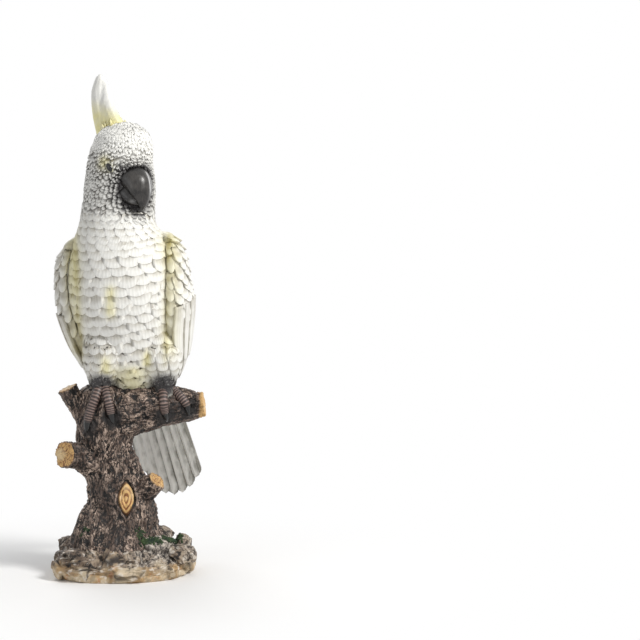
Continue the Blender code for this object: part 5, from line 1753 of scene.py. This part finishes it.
def toe(name, foot, steps, towards):
    """A ringed tube that follows the wood from the leg to the point of its claw."""
    fine = spline(np.array(steps), np.linspace(0, len(steps) - 1, 14))
    path = []
    for number, (aside, height) in enumerate(fine):
        x, z = foot[0] + aside, foot[2] + height
        y = wood_front(x, z, towards) if number > 1 else foot[1]
        if y is None:
            y = path[-1][1]
        path.append((x, y - towards * 1.3 * (number > 1), z))
    path = np.array(path)
    for _ in range(3):
        path[1:-1, 1] = 0.25 * path[:-2, 1] + 0.5 * path[1:-1, 1] + 0.25 * path[2:, 1]
    rows, sides = 96, 32
    at = spline(path, np.linspace(0, len(path) - 1, rows))
    run = unit(np.gradient(at, axis=0))
    out = np.array([0.0, -towards, 0.0])
    out = unit(out - run * (run @ out)[:, None])
    side_way = np.cross(run, out)
    share = np.linspace(0, 1, rows)
    length = np.linalg.norm(np.diff(at, axis=0), axis=1).sum()
    claw = smoothstep(0.70, 0.76, share)
    taper = spline(TOE_TAPER[:, None], share * (len(TOE_TAPER) - 1))[:, 0] * TOE_RADIUS
    uneven = share * length + 0.5 * np.sin(9.0 * share + length)
    rings_along = np.abs(np.sin(np.pi * uneven / RING_SPACING)) ** 0.8
    angle = np.linspace(0, 2 * np.pi, sides, endpoint=False)
    top = smoothstep(-0.2, 0.7, np.sin(angle))
    rings, ridge = [], []
    for i in range(rows):
        swell = 1 + 0.09 * (rings_along[i] - 0.6) * (1 - claw[i]) * (0.4 + 0.6 * top)
        r = taper[i] * swell
        arch = out[i] * 0.225 * TOE_RADIUS * math.sin(math.pi * share[i] / 0.75) * (share[i] < 0.75)
        rings.append(at[i] + arch + np.outer(np.cos(angle) * r, side_way[i]) + np.outer(np.sin(angle) * r, out[i]))
        ridge.append(rings_along[i] * (0.45 + 0.55 * top))
    piece = lofted(name, rings)
    put_mask(piece, "ridge", np.concatenate([np.array(ridge).ravel(), [0.3, 0.3]]))
    put_mask(piece, "claw", np.concatenate([np.repeat(claw, sides), [0, 1]]))
    # Dark paint and painted shade at the toe's root, under the thigh
    put_mask(piece, "soot", np.concatenate([np.repeat(smoothstep(0.12, 0.0, share), sides), [1, 0]]))
    return piece


# %% Toe paint
def toe_paint():
    """Brown-grey skin, brushed pale on the rings, black on the claws, and dark paint with painted shade where the
    leg begins.
    """
    material, tree, shader = new_paint("toe_paint")
    ridge, claw, soot = (attribute(tree, name, -1100, -200 * i) for i, name in enumerate(("ridge", "claw", "soot")))
    speck = texture_noise(tree, 1.4, -700, 300)
    brushed = math_node(tree, "ADD", ridge, math_node(tree, "MULTIPLY", speck, 0.3, -500, 300), -350, 200)
    raised = ramp(tree, brushed, 0.80, 1.18, -200, 200)
    skin_colour = mix_colour(tree, raised, (0.034, 0.022, 0.019), (0.25, 0.175, 0.150), 0, 200)
    colour = mix_colour(tree, claw, skin_colour, (0.006, 0.006, 0.006), 200, 200)
    colour = mix_colour(tree, soot, colour, (0.03, 0.026, 0.026), 400, 200)
    tree.links.new(colour, shader.inputs["Base Color"])
    tree.links.new(ramp(tree, claw, 0, 1, 0, -200, 0.5, 0.22), shader.inputs["Roughness"])
    return material


toe_skin = toe_paint()
claw_points = []
for side, label in SIDES:
    for number, steps in enumerate(FRONT_TOES[side]):
        piece = toe(f"{label}_toe_{number + 1}", LEGS[side], steps, 1)
        piece.data.materials.append(toe_skin)
        claw_points.append(points_of(piece)[number_mask(piece, "claw") > 0.9][::16])
        own(piece)
    for number, steps in enumerate(BACK_TOES):
        piece = toe(f"{label}_back_toe_{number + 1}", LEGS[side], steps, -1)
        piece.data.materials.append(toe_skin)
        own(piece)

# %% [markdown]
# ## Black round the claws
#
# The bark is near black round the claws. The distance of each point of the bark from the claws gives that dark
# patch, a little ragged.

# %% Black round the claws
p = points_of(stump)
claw_cloud = np.vstack(claw_points)
reach = np.full(len(p), 1e3)
for claw_point in claw_cloud:
    reach = np.minimum(reach, np.linalg.norm(p - claw_point, axis=1))
put_mask(stump, "claws", 0.92 * smoothstep(8.0, 3.0, reach + 1.5 * grain(p, 4.0, 1.0)))
print("black paint near", len(claw_cloud), "points of the claws")

# %% [markdown]
# ## Rocky base
#
# The base is a low mound of slabs with cracks between them and a rounded rim. Cutting the cracks one by
# one would take a day, so cell noise gives each slab its own height, and the narrow border between two
# cells becomes a crack.

# %% Base mound
BASE_PROFILE = np.array([
    # height, share of the widest outline
    (0.0, 0.880), (3.3, 0.965), (9.75, 1.0), (15.0, 0.965), (18.6, 0.87),
    (23.4, 0.74), (27.0, 0.58), (30.0, 0.40), (31.5, 0.04),
])
BASE_SIDES = 320
BASE_HALF_WIDTH, BASE_HALF_DEPTH = 56.6, 48.2
at = spline(BASE_PROFILE, np.linspace(0, len(BASE_PROFILE) - 1, 110))
angle = np.linspace(0, 2 * np.pi, BASE_SIDES, endpoint=False)
c, s = np.cos(angle), np.sin(angle)
rim_x = np.sign(c) * np.abs(c) ** 0.8 * BASE_HALF_WIDTH
rim_y = np.sign(s) * np.abs(s) ** 0.8 * BASE_HALF_DEPTH
rings = [np.stack([rim_x * share, rim_y * share, np.full(BASE_SIDES, height)], -1) for height, share in at]
base = lofted("rocky_base", rings, start=np.array([0.0, 0.0, 0.0]))


# %% Slabs and cracks
def slabs(p, size, seed):
    """(distance to the nearest crack, height of the slab) for each point; cells are size mm wide."""
    crack, level = [], []
    for point in p:
        distances, cells = noise.voronoi(Vector(point / size) + Vector((seed, seed, seed)))
        crack.append(distances[1] - distances[0])
        level.append(noise.cell(cells[0] * 7.3))
    return np.array(crack), np.array(level)


def stony(piece, seed, slab_mm, crack_mm, level_mm, grain_mm):
    """Presses slabs, cracks and grit into a piece along its normals, and stores where they are."""
    p = points_of(piece)
    n = normals_of(piece)
    warped = p + np.stack([grain(p, 9.0, seed), grain(p, 9.0, seed + 3), grain(p, 9.0, seed + 6)], -1) * 2.4
    crack, level = slabs(warped, slab_mm, seed)
    soft = 1.5 * grain(p, 11.0, seed + 1.0)
    grit = grain(p, 2.0, seed + 2.0) + 0.6 * grain(p, 1.0, seed + 4.0)
    gap = (1 - smoothstep(0.01, 0.10, crack)) * smoothstep(-0.35, 0.25, grain(p, 12.0, seed + 9.0))
    lumps = grain(p, 4.5, seed + 12.0)
    rise = soft + level_mm * (level - 0.5) * smoothstep(0.0, 0.12, crack) - crack_mm * gap
    rise = (rise + grain_mm * (grit + 1.5 * lumps)) * smoothstep(0.1, 3.0, p[:, 2])
    moved = p + n * rise[:, None]
    moved[:, 2] = np.maximum(moved[:, 2], 0)
    move_points(piece, moved)
    put_mask(piece, "gap", gap * smoothstep(0.1, 3.0, p[:, 2]))
    put_mask(piece, "grit", 0.5 + 0.5 * np.clip(0.8 * grit + 1.0 * lumps, -1, 1))
    return p


p = stony(base, 2.0, 21.0, 2.0, 4.5, 0.5)
x, y, z = p.T
put_mask(base, "ochre", smoothstep(21, 4, z + 11 * grain(p, 15.0, 8.0) + 4 * grain(p, 5.0, 3.0)))
put_mask(base, "brown", smoothstep(-24, -36, x + 4 * grain(p, 12.0, 3.0)) * smoothstep(6, 14, z))
# The pale mask makes the mound paler towards its right side as seen, and higher up
put_mask(base, "pale", smoothstep(2, 20, x + 6 * grain(p, 10.0, 5.0)) * smoothstep(10, 18, z) * 0.8)
print("base:", len(base.data.polygons), "faces")

# %% [markdown]
# ## Stone paint
#
# The stone is brown-grey on top, ochre and rust round the rim, and paler and chalky towards its right side as seen.
# An image would fix those places for good, so masks from the mesh choose the colours by height and side, and noise
# breaks them up. Dark paint stays in the cracks and low grit.

# %% Stone paint
def stone_paint_group():
    tree, start, end = group_of(
        "Stone paint",
        [
            ("Stone", "NodeSocketColor", (0.23, 0.175, 0.13, 1)),
            ("Pale", "NodeSocketColor", (0.60, 0.54, 0.46, 1)),
            ("Ochre", "NodeSocketColor", (0.46, 0.30, 0.14, 1)),
            ("Gap", "NodeSocketColor", (0.022, 0.015, 0.011, 1)),
        ],
        [("Color", "NodeSocketColor"), ("Roughness", "NodeSocketFloat"), ("Height", "NodeSocketFloat")],
    )
    names = ("gap", "grit", "ochre", "brown", "pale")
    gap, grit, ochre, brown, pale = (attribute(tree, name, -1300, -180 * i) for i, name in enumerate(names))
    blotch = texture_noise(tree, 13.0, -800, 500)
    patch = texture_noise(tree, 5.0, -800, 300)
    speck = texture_noise(tree, 1.1, -800, 100, 3.0)
    patches = ramp(tree, patch, 0.40, 0.66, -500, 300)
    mottled = mix_colour(tree, patches, start.outputs["Stone"], (0.36, 0.28, 0.20), -300, 300)
    blotches = ramp(tree, blotch, 0.54, 0.68, -500, 500, 0.0, 0.75)
    mottled = mix_colour(tree, blotches, mottled, start.outputs["Pale"], -120, 300)
    grains = ramp(tree, speck, 0.42, 0.60, -500, 100)
    granular = mix_colour(tree, grains, (0.13, 0.12, 0.12), start.outputs["Pale"], -120, 100)
    colour = mix_colour(tree, pale, mottled, granular, 60, 200)
    browned = math_node(tree, "MULTIPLY", brown, 0.85, 60, 0)
    colour = mix_colour(tree, browned, colour, (0.075, 0.042, 0.026), 240, 200)
    rusty = ramp(tree, patch, 0.58, 0.70, -300, -200, 0.0, 0.8)
    rust = mix_colour(tree, rusty, start.outputs["Ochre"], (0.50, 0.19, 0.055), 60, -200)
    creamy = ramp(tree, blotch, 0.42, 0.58, -300, -400, 0.0, 0.8)
    cream = mix_colour(tree, creamy, rust, (0.66, 0.56, 0.40), 240, -200)
    colour = mix_colour(tree, math_node(tree, "MULTIPLY", ochre, 0.9, 240, 0), colour, cream, 420, 100)
    vein_noise = texture_noise(tree, 7.0, -800, -700, 4.0)
    vein = ramp(tree, off_middle(tree, vein_noise, 0.5, -500, -700), 0.004, 0.035, -400, -700, 0.9, 0.0)
    vein = math_node(tree, "MULTIPLY", vein, ramp(tree, ochre, 0.0, 0.5, -300, -900, 1.0, 0.12), -200, -700)
    low_grit = ramp(tree, grit, 0.22, 0.44, 240, 420, 0.97, 0.0)
    deep = math_node(tree, "MULTIPLY", low_grit, ramp(tree, ochre, 0.2, 0.8, 100, 560, 1.0, 0.35), 320, 500)
    hollow = math_node(tree, "MAXIMUM", vein, deep, 400, 420)
    dusk = mix_colour(tree, hollow, colour, (0.013, 0.010, 0.008), 560, 100)
    dusk = mix_colour(tree, ramp(tree, grit, 0.60, 0.85, 240, 560, 0.0, 0.75), dusk, (0.74, 0.68, 0.60), 630, 100)
    colour = mix_colour(tree, gap, dusk, start.outputs["Gap"], 700, 100)
    tree.links.new(colour, end.inputs["Color"])
    tree.links.new(ramp(tree, speck, 0.2, 0.8, 400, -500, 0.55, 0.75), end.inputs["Roughness"])
    sand = math_node(tree, "MULTIPLY", speck, 0.6, 400, -700)
    tree.links.new(math_node(tree, "SUBTRACT", sand, vein, 600, -700), end.inputs["Height"])
    return tree


stone = painted("stone", stone_paint_group(), {}, 0.7, 0.6)
base.data.materials.append(stone)
own(base)

# %% [markdown]
# ## Boulders
#
# Six lumps of rock lie on the mound. A scaled ball looks like a potato, so each is a ball cut by
# thirteen planes at random, but always the same ones, and then gets the same slabs and grit as the
# mound.

# %% Boulders
ROCKS = [
    # x, y, z, half width, half depth, half height, seed
    (46.0, -22.5, 17.5, 12.5, 10.0, 8.5, 1.0),
    (48.3, -1.0, 24.0, 7.5, 8.0, 8.0, 2.0),
    (31.0, 26.5, 22.5, 13.0, 10.5, 8.0, 3.0),
    (-38.0, 22.5, 20.5, 14.5, 12.0, 8.5, 4.0),
    (9.2, -32.3, 16.5, 19.0, 9.0, 6.0, 6.0),
    (-36.0, -20.0, 18.0, 13.0, 12.0, 6.5, 7.0),
]
bm = bmesh.new()
bmesh.ops.create_icosphere(bm, subdivisions=5, radius=1.0)
directions = np.array([v.co for v in bm.verts])
faces = [tuple(v.index for v in f.verts) for f in bm.faces]
bm.free()
for x, y, z, wide, deep, tall, seed in ROCKS:
    dice = np.random.default_rng(int(seed) * 7)
    planes = unit(dice.normal(size=(13, 3)))
    heights = dice.uniform(0.72, 0.95, 13)
    facing = directions @ planes.T
    reach = np.where(facing > 0.05, heights / np.maximum(facing, 0.05), 9.0).min(1)
    reach = np.minimum(reach, 1.08)[:, None]
    points = np.array([x, y, z]) + directions * reach * np.array([wide, deep, tall])
    rock = outward(make_object(f"boulder_{int(seed)}", points, faces))
    p = stony(rock, seed + 10.0, 16.0, 0.7, 1.2, 0.35)
    put_mask(rock, "ochre", 0.35 * smoothstep(18, 8, p[:, 2]))
    flat_masks(rock, brown=0.68 if x < -30 else 0.0)
    # Each boulder is paler towards its right side as seen
    put_mask(rock, "pale", 0.35 * smoothstep(x - 6, x + 10, p[:, 0]))
    rock.data.materials.append(stone)
    own(rock)

# %% [markdown]
# ## Moss
#
# A little dark green moss grows where the trunk meets the stones, mostly on the figurine's left. Flock
# would be sprinkled on the real one. Here tiny blades do it, which the laying tree sets on the stones
# at random, but always in the same places.

# %% Moss
MOSS_PATCHES = (
    # x, y, half width, half depth, number of blades
    (17.0, -24.5, 6.5, 3.2, 150),
    (27.0, -19.5, 5.0, 3.4, 110),
    (37.0, -10.0, 5.5, 4.0, 120),
    (45.0, -5.0, 4.0, 4.0, 60),
    (-27.0, -19.0, 4.0, 2.4, 40),
)
MOSS_TOP = 40.0
moss_shell = feather_shell("moss_blade", 3, (0.0, 0.5, 1.0), 0.8)
ground = [ray_tree(bpy.data.objects[name]) for name in ("rocky_base", "boulder_1", "boulder_2", "boulder_6")]
ground.append(stump_tree)


def surface_under(x, y, top=44.0):
    """The highest place and its normal under a point, on stones or stump."""
    hits = [tree.ray_cast(Vector((x, y, top)), Vector((0, 0, -1))) for tree in ground]
    hits = [(hit[0], hit[1]) for hit in hits if hit[0] is not None]
    return max(hits, key=lambda hit: hit[0].z)


spots, outs, downs, sizes = [], [], [], []
for x, y, wide, deep, count in MOSS_PATCHES:
    for _ in range(count):
        place, normal = surface_under(x + chance.normal(0, 0.5) * wide, y + chance.normal(0, 0.5) * deep)
        if place.z > MOSS_TOP:
            continue
        way = unit(np.array(normal) + chance.normal(0, 0.55, 3))
        aside_way = unit(np.cross(way, chance.normal(0, 1, 3)))
        spots.append(np.array(place) + way * 0.9)
        outs.append(aside_way)
        downs.append(way)
        sizes.append((1.7 * chance.uniform(0.7, 1.2), 3.0 * chance.uniform(0.7, 1.3), 0.9))


def moss_paint():
    """Dark green, lighter in patches and towards the tips."""
    material, tree, shader = new_paint("moss")
    shader.inputs["Roughness"].default_value = 0.8
    tip = attribute(tree, "tip", -900, 0)
    blotch = texture_noise(tree, 4.0, -700, 300)
    patches = ramp(tree, blotch, 0.35, 0.65, -500, 300)
    green = mix_colour(tree, patches, (0.012, 0.030, 0.015), (0.050, 0.085, 0.030), -300, 300)
    colour = mix_colour(tree, ramp(tree, tip, 0.3, 1.0, -500, 0), (0.010, 0.016, 0.008), green, -100, 200)
    tree.links.new(colour, shader.inputs["Base Color"])
    return material


moss = lay("moss", moss_shell, spots, outs, downs, sizes, moss_paint(), 15.0, 31)
own(moss)

# %% [markdown]
# ## Finish
#
# The shells that were copied have done their work and go.

# %% Finish
for shell in (breast_shell, tuft_shell, covert_shell, curl_shell, moss_shell):
    bpy.data.objects.remove(shell)
